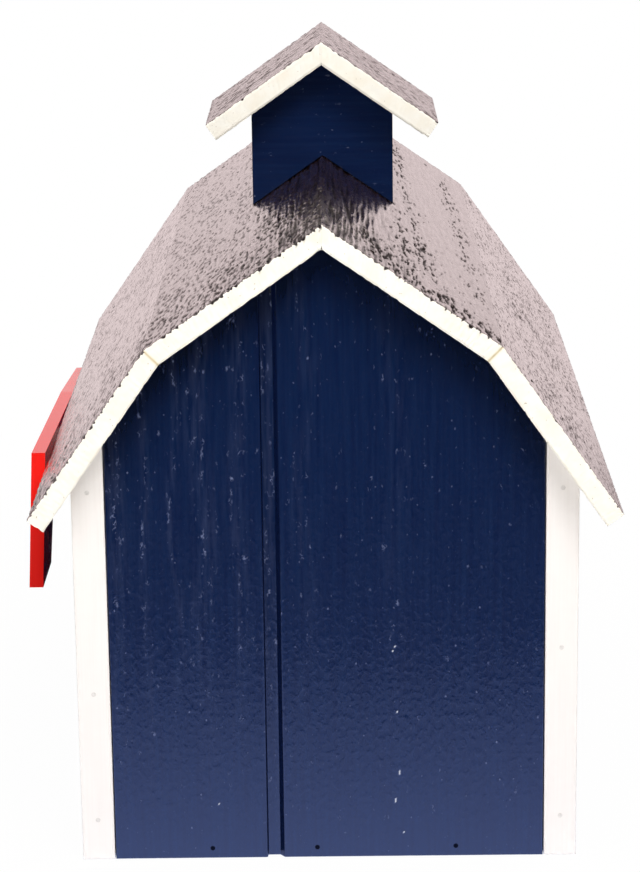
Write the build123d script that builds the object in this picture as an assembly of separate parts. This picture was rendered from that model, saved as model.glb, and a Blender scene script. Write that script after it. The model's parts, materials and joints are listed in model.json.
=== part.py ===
from build123d import *
import os
from math import atan2, cos, degrees, hypot, radians, sin, tan

# A barn-shaped mailbox of painted wood: a siding box under a gambrel roof with a cupola on its ridge,
# a drop-down door at the front and a signal flag on one side.
# Sizes are in millimetres. +Z is up, +Y points out of the door and the flag is on the -X side.
# Left is -X, as seen from behind. The origin is the middle of the floor's underside.

# Box
inner_width = 254.0
body_length = 495.3
wall_thickness = 19.05
wall_height = 228.5  # at the wall's outer face
floor_thickness = 12.7
siding_thickness = 11.1
panel_gap = 0.5
groove_width = 9.5
groove_depth = 4.0
groove_offset = 32.3
wall_groove_spacing = 203.2

# Holes in the floor for the screws that hold the box on its post
post_hole_radius = 3.3
post_holes_across = 101.6
post_holes_along = 203.2

# Gambrel roof
upper_pitch = 35.0
lower_pitch = 55.0
roof_thickness = 12.0
knee_inset = 34.7  # from the wall's inner face to the bend in the roof's underside
eave_overhang = 24.0
gable_overhang = 19.05

# Cupola
cupola_width = 88.9
cupola_depth = 63.5
cupola_rise = 60.0  # from the ridge to the point of the block
cupola_pitch = 35.0
cupola_board_width = 88.9
cupola_roof_length = 108.0

# Front and door
sill_height = 30.0
header_height = 19.0
header_drop = 4.0  # below the roof's underside
door_side_gap = 1.5
door_top_gap = 1.8
stop_gap = 0.3
stop_depth = 19.05
stop_overlap = 8.0
stop_lap = 10.0
stop_end_gap = 15.0
batten_width = 24.0
batten_thickness = 6.35
rail_reveal = 4.0

# Butt hinges
hinge_width = 38.0
hinge_spacing = 160.0
leaf_thickness = 1.0
leaf_gap = 0.3
leaf_depth = 10.3
barrel_radius = 2.5
barrel_reveal = 0.3
knuckle_gap = 0.3
hinge_pin_radius = 1.2
hinge_pin_fit = 0.05
pin_head_radius = 1.9
pin_head_height = 0.8
leaf_screw_offset = 11.0

# Knob, catch and strike plate
knob_foot_radius = 9.0
knob_neck_radius = 6.5
knob_neck_height = 6.0
knob_shoulder_radius = 11.0
knob_shoulder_height = 11.0
knob_head_radius = 12.5
knob_head_height = 16.0
knob_face_radius = 7.0
knob_length = 23.0
catch_offset = 60.0
catch_width = 28.0
catch_height = 13.0
catch_ear_width = 9.0
catch_ear_thickness = 3.0
catch_gap = 0.3
strike_width = 36.0
strike_height = 12.0
strike_thickness = 1.2

# Signal flag, lying along the wall, measured from its pivot
flag_thickness = 8.5
flag_eave_clearance = 2.0
flag_setback = 76.6  # from the front of the box to the pivot
flag_drop = 28.0  # from the eave's lower corner to the pivot
flag_tail = 16.5
flag_root_rise = 16.5
flag_root_drop = 13.5
flag_bend_reach = 104.0
flag_bend_rise = 28.3
flag_reach = 300.0
flag_rise = 38.0
plate_reach = 339.5
plate_drop = 36.0
plate_length = 51.0
neck_reach = 250.0
neck_rise = 8.0
spacer_size = 38.0
spacer_screw_offset = 12.5

# Flag bolt
bolt_radius = 3.175
bolt_fit = 0.06
bolt_head_radius = 7.0
bolt_head_height = 3.6
bolt_head_round = 2.2
bolt_tail = 2.0
washer_radius = 7.5
washer_thickness = 1.2
flag_play = 0.2
nut_radius = 6.4
nut_thickness = 5.6

# Nails and screws
nail_radius = 0.8
nail_head_radius = 1.4
nail_head_height = 1.0
nail_fit = 0.02
nail_length = 32.0
wall_nail_length = 38.0
roof_nail_length = 28.0
stop_nail_length = 25.0
batten_nail_length = 15.0
small_screw = (1.1, 2.1)  # shank and head radius
large_screw = (2.1, 4.0)
screw_fit = 0.02
screw_slot = 0.8
hinge_screw_length = 12.0
catch_screw_length = 12.0
strike_screw_length = 9.0
spacer_screw_bite = 14.0
cupola_screw_bite = 20.0
knob_screw_bite = 13.0

# Where the nails go
long_nail_spacing = 130.0
floor_nail_left = 69.0
floor_nail_middle = 7.0  # left of the middle
floor_nail_right = 75.0
sill_nail_spacing = 90.0
trim_nail_margin = 25.0
trim_nail_top_margin = 16.0
left_trim_nail_drop = 22.0  # how far the middle nail sits below the middle
right_trim_nail_rise = 4.0  # and above it on the other side
edge_nail_heights = (60.0, 160.0)
upper_nail_places = (35.0, 90.0)  # down the slope from the ridge
lower_nail_place = 32.0  # down the slope from the bend
eave_nail_inset = 3.0
cupola_nail_place = 34.0
cupola_nail_spacing = 38.0
cupola_screw_inset = 12.0
stop_nail_spacing = 140.0
gable_nail_spacing = 80.0
batten_nail_margin = 12.0
brace_nail_margin = 32.0

# Box planes
half_in = inner_width / 2
half_out = half_in + wall_thickness
front = body_length / 2
end_in = front - siding_thickness
roof_end = front + gable_overhang
panel_half = half_in - panel_gap
trim_middle = half_in + wall_thickness / 2
floor_middle = floor_thickness / 2
siding_middle = front - siding_thickness / 2

# Corners of the roof's section on the right, as (x, z)
upper = radians(upper_pitch)
lower = radians(lower_pitch)
knee_under = (half_in - knee_inset, wall_height + (wall_thickness + knee_inset) * tan(lower))
ridge_under = (0.0, knee_under[1] + knee_under[0] * tan(upper))
ridge_top = (0.0, ridge_under[1] + roof_thickness / cos(upper))
mitre = roof_thickness * (sin(upper) + sin(lower)) / (1 + cos(lower - upper))
mitre_rise = roof_thickness * (cos(upper) + cos(lower)) / (1 + cos(lower - upper))
knee_top = (knee_under[0] + mitre, knee_under[1] + mitre_rise)
eave_x = half_out + eave_overhang
eave_top = (eave_x, knee_top[1] - (eave_x - knee_top[0]) * tan(lower))
eave_under = (eave_x - roof_thickness * sin(lower), eave_top[1] - roof_thickness * cos(lower))

# Cupola heights
cupola_slope = radians(cupola_pitch)
cupola_point = ridge_top[1] + cupola_rise
cupola_ridge = cupola_point + roof_thickness / cos(cupola_slope)

# Door planes
header_top = wall_height + wall_thickness * tan(lower) - header_drop
header_bottom = header_top - header_height
door_half = half_in - door_side_gap
door_front = front + stop_gap
door_back = door_front - siding_thickness
door_bottom = sill_height + 2 * leaf_thickness + leaf_gap
door_top = header_bottom - door_top_gap
batten_front = door_front + batten_thickness
hinge_y = door_front + barrel_reveal + barrel_radius
hinge_z = sill_height + leaf_thickness + leaf_gap / 2
top_rail_middle = door_top - batten_width / 2
bottom_rail_low = door_bottom + rail_reveal
bottom_rail_top = bottom_rail_low + batten_width
top_rail_low = door_top - batten_width
brace_half = door_half - batten_width
brace_middle = (bottom_rail_top + top_rail_low) / 2
brace_angle = atan2(top_rail_low - bottom_rail_top, 2 * brace_half)
brace_reach = hypot(top_rail_low - bottom_rail_top, 2 * brace_half) / 2
stop_low = header_bottom - stop_overlap
stop_top = header_top + stop_lap
stop_half = half_in - stop_end_gap

# Flag stack, as distances from the middle out to the left
pivot_y = front - flag_setback
pivot_z = eave_under[1] - flag_drop
flag_in = eave_x + flag_eave_clearance
flag_out = flag_in + flag_thickness
spacer_out = flag_in - flag_play - washer_thickness
bolt_head_in = flag_out + flag_play + washer_thickness
nut_out = half_in - washer_thickness
bolt_end = nut_out - nut_thickness - bolt_tail

SIDES = {"left": -1, "right": 1}
INWARD = {-1: (1, 0, 0), 1: (-1, 0, 0)}
LOW = (Align.CENTER, Align.CENTER, Align.MIN)


def underside(x):
    """Height of the lower roof's underside at a distance from the middle."""
    return wall_height + (half_out - x) * tan(lower)


def slab(x, y, z):
    """Box between pairs of limits."""
    middle = [(low + high) / 2 for low, high in (x, y, z)]
    return Pos(*middle) * Box(x[1] - x[0], y[1] - y[0], z[1] - z[0])


def along_y(outline, y):
    """Solid with an (x, z) outline between two limits in y."""
    face = make_face(Polyline(*[(x, y[0], z) for x, z in outline], close=True))
    return extrude(face, amount=y[1] - y[0], dir=(0, 1, 0))


def rod_x(radius, x, y, z):
    """Round bar along X between two limits."""
    return Pos(x[0], y, z) * Rot(0, 90, 0) * Cylinder(radius, x[1] - x[0], align=LOW)


def sided(side, low, high):
    """Limits in x on one side, from distances to the middle."""
    return tuple(sorted((side * low, side * high)))


def nail(at, toward, length):
    """Nail whose head is flush at a point, driven along a direction."""
    head = Cylinder(nail_head_radius, nail_head_height, align=LOW)
    return Plane(at, z_dir=toward) * (head + Cylinder(nail_radius, length, align=LOW))


def nail_hole(at, toward, length):
    """Space that one nail takes up in the boards."""
    head = Cylinder(nail_head_radius + nail_fit, 2 * nail_head_height)
    shank = Cylinder(nail_radius + nail_fit, length + nail_fit, align=LOW)
    return Plane(at, z_dir=toward) * (head + shank)


def screw_body(at, toward, length, size, fit=0.0):
    """Countersunk screw without its slot, or with a fit the space that it takes up."""
    shank, head = size
    cone = Cone(head + fit, shank + fit, head - shank, align=LOW)
    return Plane(at, z_dir=toward) * (cone + Cylinder(shank + fit, length + fit, align=LOW))


def screw(at, toward, length, size):
    """Countersunk screw with a driver slot."""
    slot = Plane(at, z_dir=toward) * Box(3 * size[1], screw_slot, screw_slot)
    return screw_body(at, toward, length, size) - slot


def screw_hole(at, toward, length, size):
    """Space that one screw takes up."""
    return screw_body(at, toward, length, size, screw_fit)


def nailed(board, *groups):
    """Board with the holes of its nails."""
    return board - [nail_hole(*spot) for group in groups for spot in group]


def screwed(board, *groups):
    """Board with the holes of its screws."""
    return board - [screw_hole(*spot) for group in groups for spot in group]


def group_of(maker, spots):
    """All fasteners of one kind together."""
    return Part() + [maker(*spot) for spot in spots]


def spread(count, pitch):
    """Evenly spaced places about the middle."""
    return [(index - (count - 1) / 2) * pitch for index in range(count)]


def slope_spot(side, start, slope, distance, y):
    """Point on a roof face some way down its slope, and the way straight into the board."""
    x = start[0] + distance * cos(slope)
    z = start[1] - distance * sin(slope)
    return (side * x, y, z), (-side * sin(slope), 0, -cos(slope))


# Where each group of nails and screws sits: a point, a direction and a length
def trim_nail_spots(end, side):
    """Three nails down a corner strip."""
    top = underside(trim_middle) - trim_nail_top_margin
    shift = -left_trim_nail_drop if side < 0 else right_trim_nail_rise
    middle = (trim_nail_margin + top) / 2 + shift
    heights = (trim_nail_margin, middle, top)
    return [((side * trim_middle, end * front, z), (0, -end, 0), nail_length) for z in heights]


def upper_roof_spots(side):
    """Nails through an upper roof board into the gables."""
    ends = (-siding_middle, siding_middle)
    return [
        (*slope_spot(side, ridge_top, upper, place, y), roof_nail_length)
        for y in ends
        for place in upper_nail_places
    ]


def lower_gable_spots(side):
    """Nails through a lower roof board into the gables."""
    ends = (-siding_middle, siding_middle)
    return [(*slope_spot(side, knee_top, lower, lower_nail_place, y), roof_nail_length) for y in ends]


def eave_spots(side):
    """Nails through a lower roof board into the bevelled top of its wall."""
    entry = half_out - eave_nail_inset + roof_thickness * sin(lower)
    place = (entry - knee_top[0]) / cos(lower)
    rows = spread(4, long_nail_spacing)
    return [(*slope_spot(side, knee_top, lower, place, y), roof_nail_length) for y in rows]


def wall_floor_spots(side):
    """Nails through a side wall into the edge of the floor."""
    rows = spread(4, long_nail_spacing)
    return [((side * half_out, y, floor_middle), INWARD[side], wall_nail_length) for y in rows]


def cupola_roof_spots(side):
    """Nails through a cupola roof board into the block."""
    ridge = (0.0, cupola_ridge)
    rows = spread(2, cupola_nail_spacing)
    return [(*slope_spot(side, ridge, cupola_slope, cupola_nail_place, y), roof_nail_length) for y in rows]


def cupola_screw_spots(side):
    """Screw from inside, through an upper roof board and up into the block."""
    z = ridge_under[1] - cupola_screw_inset * tan(upper)
    out = (side * sin(upper), 0, cos(upper))
    return [((side * cupola_screw_inset, 0, z), out, roof_thickness + cupola_screw_bite, large_screw)]


def back_edge_spots(side):
    """Nails through a back corner strip into the edge of the back panel."""
    y = -siding_middle
    return [((side * half_out, y, z), INWARD[side], wall_nail_length) for z in edge_nail_heights]


def sill_edge_spots(side):
    """Nail through a front corner strip into the end of the sill."""
    return [((side * half_out, siding_middle, sill_height / 2), INWARD[side], wall_nail_length)]


floor_nail_places = (-floor_nail_left, -floor_nail_middle, floor_nail_right)
back_floor_spots = [((x, -front, floor_middle), (0, 1, 0), nail_length) for x in floor_nail_places]
sill_floor_spots = [((x, front, floor_middle), (0, -1, 0), nail_length) for x in spread(3, sill_nail_spacing)]
header_spots = [
    ((x, front, (header_bottom + header_top) / 2), (0, -1, 0), stop_nail_length)
    for x in spread(2, stop_nail_spacing)
]
gable_spots = [
    ((x, front, header_top + stop_lap / 2), (0, -1, 0), stop_nail_length)
    for x in spread(2, gable_nail_spacing)
]
spacer_spots = [
    (
        (-half_in, pivot_y + place, pivot_z + place),
        (-1, 0, 0),
        wall_thickness + spacer_screw_bite,
        large_screw,
    )
    for place in (-spacer_screw_offset, spacer_screw_offset)
]


def leaf_screw_spots(side, z, up):
    """Two screws through one hinge leaf."""
    y = door_front - siding_thickness / 2
    places = (-leaf_screw_offset, leaf_screw_offset)
    middle = side * hinge_spacing / 2
    return [((middle + x, y, z), (0, 0, up), hinge_screw_length, small_screw) for x in places]


sill_leaf_top = sill_height + leaf_thickness
door_leaf_low = sill_leaf_top + leaf_gap
sill_screw_spots = [spot for side in (-1, 1) for spot in leaf_screw_spots(side, sill_leaf_top, -1)]
door_screw_spots = [spot for side in (-1, 1) for spot in leaf_screw_spots(side, door_leaf_low, 1)]

strike_middle = stop_low - catch_height / 2
strike_spots = [
    (
        (catch_offset, door_back - strike_thickness, strike_middle),
        (0, 1, 0),
        strike_screw_length,
        small_screw,
    )
]
knob_spots = [
    (
        (0, door_back, top_rail_middle),
        (0, 1, 0),
        siding_thickness + batten_thickness + knob_screw_bite,
        large_screw,
    )
]
catch_spots = [
    (
        (catch_offset + x, end_in - stop_depth / 2, stop_low - catch_ear_thickness),
        (0, 0, 1),
        catch_screw_length,
        small_screw,
    )
    for x in spread(2, catch_width + catch_ear_width)
]


def brace_spot(turn, distance):
    """Nail on a door brace, some way along one diagonal from the crossing."""
    x = distance * cos(brace_angle)
    z = brace_middle + turn * distance * sin(brace_angle)
    return ((x, batten_front, z), (0, -1, 0), batten_nail_length)


def batten_row(x, z):
    """Nail on a door batten."""
    return ((x, batten_front, z), (0, -1, 0), batten_nail_length)


rail_nail_x = door_half - batten_nail_margin
brace_nail_reach = brace_reach - brace_nail_margin
rail_spots = [
    batten_row(x, z)
    for x in (-rail_nail_x, rail_nail_x)
    for z in (bottom_rail_low + batten_width / 2, top_rail_middle)
]
stile_spots = [
    batten_row(x, z)
    for x in (-rail_nail_x, rail_nail_x)
    for z in (bottom_rail_top + batten_nail_margin, top_rail_low - batten_nail_margin)
]
long_brace_spots = [brace_spot(1, reach) for reach in (-brace_nail_reach, brace_nail_reach)]
short_brace_spots = [
    brace_spot(-1, turn * reach) for turn in (-1, 1) for reach in (brace_nail_margin, brace_nail_reach)
]
door_spots = rail_spots + stile_spots + long_brace_spots + short_brace_spots


# Box
def make_floor():
    """Floor with four holes for the post's screws."""
    board = slab((-half_in, half_in), (-end_in, end_in), (0, floor_thickness))
    holes = GridLocations(post_holes_across, post_holes_along, 2, 2) * Cylinder(
        post_hole_radius, 4 * floor_thickness
    )
    walls = wall_floor_spots(-1) + wall_floor_spots(1)
    return nailed(board - holes, walls, back_floor_spots, sill_floor_spots)


def make_wall(side):
    """Side wall with a bevelled top and two siding grooves outside."""
    outline = [
        (side * half_in, 0),
        (side * half_out, 0),
        (side * half_out, wall_height),
        (side * half_in, underside(half_in)),
    ]
    wall = along_y(outline, (-end_in, end_in))
    for y in spread(2, wall_groove_spacing):
        limits = (y - groove_width / 2, y + groove_width / 2)
        wall -= slab(sided(side, half_out - groove_depth, half_out), limits, (0, wall_height))
    trims = trim_nail_spots(-1, side) + trim_nail_spots(1, side)
    wall = nailed(wall, wall_floor_spots(side), eave_spots(side), trims)
    if side == SIDES["left"]:
        bolt_hole = rod_x(bolt_radius + bolt_fit, (-half_out, -half_in), pivot_y, pivot_z)
        wall = screwed(wall - bolt_hole, spacer_spots)
    return wall


def make_corner_strip(end, side):
    """White strip on the end of a side wall."""
    outline = [
        (side * half_in, 0),
        (side * half_out, 0),
        (side * half_out, wall_height),
        (side * half_in, underside(half_in)),
    ]
    strip = along_y(outline, sided(end, end_in, front))
    edge = back_edge_spots(side) if end < 0 else sill_edge_spots(side)
    return nailed(strip, trim_nail_spots(end, side), edge)


def roof_line(half_width):
    """Outline points under the roof from right to left."""
    right = [(half_width, underside(half_width)), knee_under]
    left = [(-x, z) for x, z in reversed(right)]
    return right + [ridge_under] + left


def siding_groove(end, x, z):
    """Groove down the outer face of an end panel."""
    return slab((x - groove_width / 2, x + groove_width / 2), sided(end, front - groove_depth, front), z)


def roof_spots():
    """All nails of the main roof."""
    makers = (upper_roof_spots, lower_gable_spots, eave_spots)
    return [spot for maker in makers for side in (-1, 1) for spot in maker(side)]


def gable_roof_spots():
    """Nails of the main roof that end in the gables."""
    makers = (upper_roof_spots, lower_gable_spots)
    return [spot for maker in makers for side in (-1, 1) for spot in maker(side)]


def make_back_panel():
    """Grooved siding between the back corner strips."""
    outline = [(-panel_half, 0), (panel_half, 0)] + roof_line(panel_half)
    panel = along_y(outline, (-front, -end_in)) - siding_groove(-1, -groove_offset, (0, ridge_top[1]))
    edges = back_edge_spots(-1) + back_edge_spots(1)
    return nailed(panel, back_floor_spots, edges, gable_roof_spots())


def make_gable():
    """Grooved siding over the front header."""
    outline = [(-panel_half, header_top), (panel_half, header_top)] + roof_line(panel_half)
    panel = along_y(outline, (end_in, front)) - siding_groove(1, groove_offset, (header_top, ridge_top[1]))
    return nailed(panel, gable_spots, gable_roof_spots())


def make_header():
    """White board over the door."""
    board = slab((-panel_half, panel_half), (end_in, front), (header_bottom, header_top))
    return nailed(board, header_spots)


def make_sill():
    """White board under the door, which carries the hinges."""
    board = slab((-panel_half, panel_half), (end_in, front), (0, sill_height))
    edges = sill_edge_spots(-1) + sill_edge_spots(1)
    return screwed(nailed(board, sill_floor_spots, edges), sill_screw_spots)


def make_stop():
    """Strip behind the header that the door closes against."""
    strip = slab((-stop_half, stop_half), (end_in - stop_depth, end_in), (stop_low, stop_top))
    return screwed(nailed(strip, header_spots, gable_spots), catch_spots)


# Roof
def make_upper_board(side):
    """Upper roof board, mitred at the ridge and at the bend."""
    outline = [(side * x, z) for x, z in (ridge_under, knee_under, knee_top, ridge_top)]
    board = along_y(outline, (-roof_end, roof_end))
    return screwed(nailed(board, upper_roof_spots(side)), cupola_screw_spots(side))


def make_lower_board(side):
    """Lower roof board, mitred at the bend and cut square at the eave."""
    outline = [(side * x, z) for x, z in (knee_under, eave_under, eave_top, knee_top)]
    board = along_y(outline, (-roof_end, roof_end))
    return nailed(board, lower_gable_spots(side), eave_spots(side))


def make_cupola_block():
    """Block with a gable top and a notch that sits on the ridge."""
    half = cupola_width / 2
    outline = [
        ridge_top,
        (half, ridge_top[1] - half * tan(upper)),
        (half, cupola_point - half * tan(cupola_slope)),
        (0, cupola_point),
        (-half, cupola_point - half * tan(cupola_slope)),
        (-half, ridge_top[1] - half * tan(upper)),
    ]
    block = along_y(outline, (-cupola_depth / 2, cupola_depth / 2))
    block = nailed(block, cupola_roof_spots(-1), cupola_roof_spots(1))
    return screwed(block, cupola_screw_spots(-1), cupola_screw_spots(1))


def make_cupola_board(side):
    """Cupola roof board, mitred at its ridge and cut square at its eave."""
    eave = (cupola_board_width * cos(cupola_slope), cupola_ridge - cupola_board_width * sin(cupola_slope))
    eave_low = (eave[0] - roof_thickness * sin(cupola_slope), eave[1] - roof_thickness * cos(cupola_slope))
    corners = ((0, cupola_point), eave_low, eave, (0, cupola_ridge))
    outline = [(side * x, z) for x, z in corners]
    board = along_y(outline, (-cupola_roof_length / 2, cupola_roof_length / 2))
    return nailed(board, cupola_roof_spots(side))


# Door
def make_door_panel():
    """Grooved siding that fills the doorway."""
    board = slab((-door_half, door_half), (door_back, door_front), (door_bottom, door_top))
    groove = (groove_offset - groove_width / 2, groove_offset + groove_width / 2)
    board -= slab(groove, (door_front - groove_depth, door_front), (door_bottom, door_top))
    return screwed(nailed(board, door_spots), door_screw_spots, knob_spots, strike_spots)


def batten(x, z):
    """Flat strip on the front of the door."""
    return slab(x, (door_front, batten_front), z)


def make_rail(low):
    """Level batten across the door."""
    rail = batten((-door_half, door_half), (low, low + batten_width))
    return screwed(nailed(rail, rail_spots), knob_spots)


def make_stile(side):
    """Upright batten between the rails."""
    stile = batten(sided(side, brace_half, door_half), (bottom_rail_top, top_rail_low))
    return nailed(stile, stile_spots)


def diagonal(turn):
    """Slanting batten cut off by the rails and stiles."""
    strip = Box(3 * brace_reach, batten_thickness, batten_width)
    middle = (door_front + batten_front) / 2
    placed = Pos(0, middle, brace_middle) * Rot(0, -turn * degrees(brace_angle), 0) * strip
    return placed & batten((-brace_half, brace_half), (bottom_rail_top, top_rail_low))


def make_short_braces():
    """The two halves of the second diagonal, lower one first."""
    halves = diagonal(-1) - diagonal(1)
    low, high = halves.solids().sort_by(Axis.Z)
    return nailed(Part() + low, short_brace_spots), nailed(Part() + high, short_brace_spots)


def knuckle_limits(side):
    """The three stretches of one hinge's barrel."""
    length = (hinge_width - 2 * knuckle_gap) / 3
    middle = side * hinge_spacing / 2
    return [(middle + x - length / 2, middle + x + length / 2) for x in spread(3, length + knuckle_gap)]


def make_leaf(side, low, knuckles, screws):
    """Hinge leaf in the gap under the door, with its share of the barrel."""
    middle = side * hinge_spacing / 2
    width = (middle - hinge_width / 2, middle + hinge_width / 2)
    z = (low, low + leaf_thickness)
    leaf = slab(width, (door_front - leaf_depth, door_front), z)
    for limits in knuckles:
        leaf += slab(limits, (door_front, hinge_y), z)
        leaf += rod_x(barrel_radius, limits, hinge_y, hinge_z)
    leaf -= rod_x(hinge_pin_radius + hinge_pin_fit, width, hinge_y, hinge_z)
    return screwed(leaf, screws)


def make_hinge_pin(side):
    """Pin through one hinge's barrel, headed at both ends."""
    middle = side * hinge_spacing / 2
    low, high = middle - hinge_width / 2, middle + hinge_width / 2
    pin = rod_x(hinge_pin_radius, (low - pin_head_height, high + pin_head_height), hinge_y, hinge_z)
    for limits in ((low - pin_head_height, low), (high, high + pin_head_height)):
        pin += rod_x(pin_head_radius, limits, hinge_y, hinge_z)
    return pin


def make_knob():
    """Turned knob on the middle of the top rail."""
    foot = (knob_foot_radius, 0)
    shoulder = (knob_shoulder_radius, knob_shoulder_height)
    neck = ThreePointArc(foot, (knob_neck_radius, knob_neck_height), shoulder)
    rim = (knob_face_radius, knob_length)
    head = ThreePointArc(shoulder, (knob_head_radius, knob_head_height), rim)
    section = make_face(neck + head + Polyline(rim, (0, knob_length), (0, 0), foot))
    knob = Pos(0, batten_front, top_rail_middle) * revolve(section, Axis.Y)
    return screwed(knob, knob_spots)


def make_catch():
    """Magnetic catch with an ear at each end, under the stop."""
    face = door_back - strike_thickness - catch_gap
    y = (end_in - stop_depth, face)
    middle = (catch_offset - catch_width / 2, catch_offset + catch_width / 2)
    ears = (middle[0] - catch_ear_width, middle[1] + catch_ear_width)
    body = slab(middle, y, (stop_low - catch_height, stop_low))
    body += slab(ears, y, (stop_low - catch_ear_thickness, stop_low))
    return screwed(body, catch_spots)


def make_strike():
    """Steel plate on the back of the door."""
    x = (catch_offset - strike_width / 2, catch_offset + strike_width / 2)
    z = (strike_middle - strike_height / 2, strike_middle + strike_height / 2)
    return screwed(slab(x, (door_back - strike_thickness, door_back), z), strike_spots)


# Flag
def make_flag():
    """Signal flag as it lies along the wall: an arm that widens to a plate."""
    corners = [
        (flag_tail, flag_root_rise),
        (-flag_bend_reach, flag_bend_rise),
        (-flag_reach, flag_rise),
        (-plate_reach, -plate_drop),
        (plate_length - plate_reach, -plate_drop),
        (-neck_reach, neck_rise),
        (flag_tail, -flag_root_drop),
    ]
    points = [(-flag_out, pivot_y + y, pivot_z + z) for y, z in corners]
    arm = extrude(make_face(Polyline(*points, close=True)), amount=flag_thickness, dir=(1, 0, 0))
    return arm - rod_x(bolt_radius + bolt_fit, (-flag_out, -flag_in), pivot_y, pivot_z)


def make_spacer():
    """Block that holds the flag clear of the eave."""
    half = spacer_size / 2
    x = (-spacer_out, -half_out)
    block = slab(x, (pivot_y - half, pivot_y + half), (pivot_z - half, pivot_z + half))
    return screwed(block - rod_x(bolt_radius + bolt_fit, x, pivot_y, pivot_z), spacer_spots)


def make_bolt():
    """Round-headed bolt that the flag turns on."""
    shank = rod_x(bolt_radius, (-bolt_head_in, -bolt_end), pivot_y, pivot_z)
    head = rod_x(bolt_head_radius, (-bolt_head_in - bolt_head_height, -bolt_head_in), pivot_y, pivot_z)
    rim = head.faces().sort_by(Axis.X)[0].edges()
    return shank + fillet(rim, bolt_head_round)


def make_washer(outer):
    """Washer whose face away from the box is at a distance from the middle."""
    x = (-outer, washer_thickness - outer)
    ring = rod_x(washer_radius, x, pivot_y, pivot_z)
    return ring - rod_x(bolt_radius + bolt_fit, x, pivot_y, pivot_z)


def make_nut():
    """Lock nut inside the wall."""
    start = Plane((-nut_out, pivot_y, pivot_z), z_dir=(1, 0, 0))
    body = extrude(start * RegularPolygon(nut_radius, 6), amount=nut_thickness)
    bore = rod_x(bolt_radius + bolt_fit, (-nut_out, nut_thickness - nut_out), pivot_y, pivot_z)
    return body - bore


parts = {
    "floor_board": make_floor(),
    "back_panel": make_back_panel(),
    "front_gable": make_gable(),
    "front_header": make_header(),
    "front_sill": make_sill(),
    "door_stop": make_stop(),
    "cupola_block": make_cupola_block(),
    "door_panel": make_door_panel(),
    "door_top_rail": make_rail(top_rail_low),
    "door_bottom_rail": make_rail(bottom_rail_low),
    "door_long_brace": nailed(diagonal(1), long_brace_spots),
    "door_knob": make_knob(),
    "magnetic_catch": make_catch(),
    "strike_plate": make_strike(),
    "signal_flag": make_flag(),
    "flag_spacer": make_spacer(),
    "flag_bolt": make_bolt(),
    "flag_lock_nut": make_nut(),
}
parts["door_lower_brace"], parts["door_upper_brace"] = make_short_braces()
parts["flag_washers"] = Part() + [
    make_washer(outer) for outer in (bolt_head_in, flag_in - flag_play, half_in)
]
parts["hinge_pins"] = Part() + [make_hinge_pin(side) for side in (-1, 1)]

for word, side in SIDES.items():
    first, centre, last = knuckle_limits(side)
    parts[f"{word}_side_wall"] = make_wall(side)
    parts[f"back_{word}_corner_strip"] = make_corner_strip(-1, side)
    parts[f"front_{word}_corner_strip"] = make_corner_strip(1, side)
    parts[f"roof_upper_{word}"] = make_upper_board(side)
    parts[f"roof_lower_{word}"] = make_lower_board(side)
    parts[f"cupola_roof_{word}"] = make_cupola_board(side)
    parts[f"door_{word}_stile"] = make_stile(side)
    parts[f"{word}_hinge_sill_leaf"] = make_leaf(side, sill_height, (first, last), sill_screw_spots)
    parts[f"{word}_hinge_door_leaf"] = make_leaf(side, door_leaf_low, (centre,), door_screw_spots)

nail_groups = {
    "corner_strip_nails": [s for end in (-1, 1) for side in (-1, 1) for s in trim_nail_spots(end, side)],
    "floor_edge_nails": back_floor_spots + sill_floor_spots,
    "wall_nails": wall_floor_spots(-1) + wall_floor_spots(1),
    "panel_edge_nails": [
        s for side in (-1, 1) for s in back_edge_spots(side) + sill_edge_spots(side)
    ],
    "roof_nails": roof_spots(),
    "cupola_nails": cupola_roof_spots(-1) + cupola_roof_spots(1),
    "stop_nails": header_spots + gable_spots,
    "door_nails": door_spots,
}
screw_groups = {
    "cupola_screws": cupola_screw_spots(-1) + cupola_screw_spots(1),
    "hinge_sill_screws": sill_screw_spots,
    "hinge_door_screws": door_screw_spots,
    "catch_screws": catch_spots,
    "strike_screw": strike_spots,
    "knob_screw": knob_spots,
    "flag_spacer_screws": spacer_spots,
}
for name, spots in nail_groups.items():
    parts[name] = group_of(nail, spots)
for name, spots in screw_groups.items():
    parts[name] = group_of(screw, spots)

os.makedirs("parts", exist_ok=True)
for name, shape in parts.items():
    export_step(shape, f"parts/{name}.step")
print(len(parts), "pieces, ridge at", round(ridge_top[1], 1), "cupola ridge at", round(cupola_ridge, 1))
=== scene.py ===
# %% [markdown]
# # A barn-shaped mailbox of painted wood
# The object is a siding box under a gambrel roof, with a small cupola on the ridge, a drop-down door at
# the front and a red signal flag on its left side. It is seen from behind, a little from above.
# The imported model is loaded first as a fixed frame. Every piece below is fitted to it, so nothing is
# placed by eye.

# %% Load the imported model
import json
from math import acos, atan2, cos, degrees, radians, sin, tan

import bmesh
import bpy
import numpy as np
from mathutils import Matrix, Vector

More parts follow.
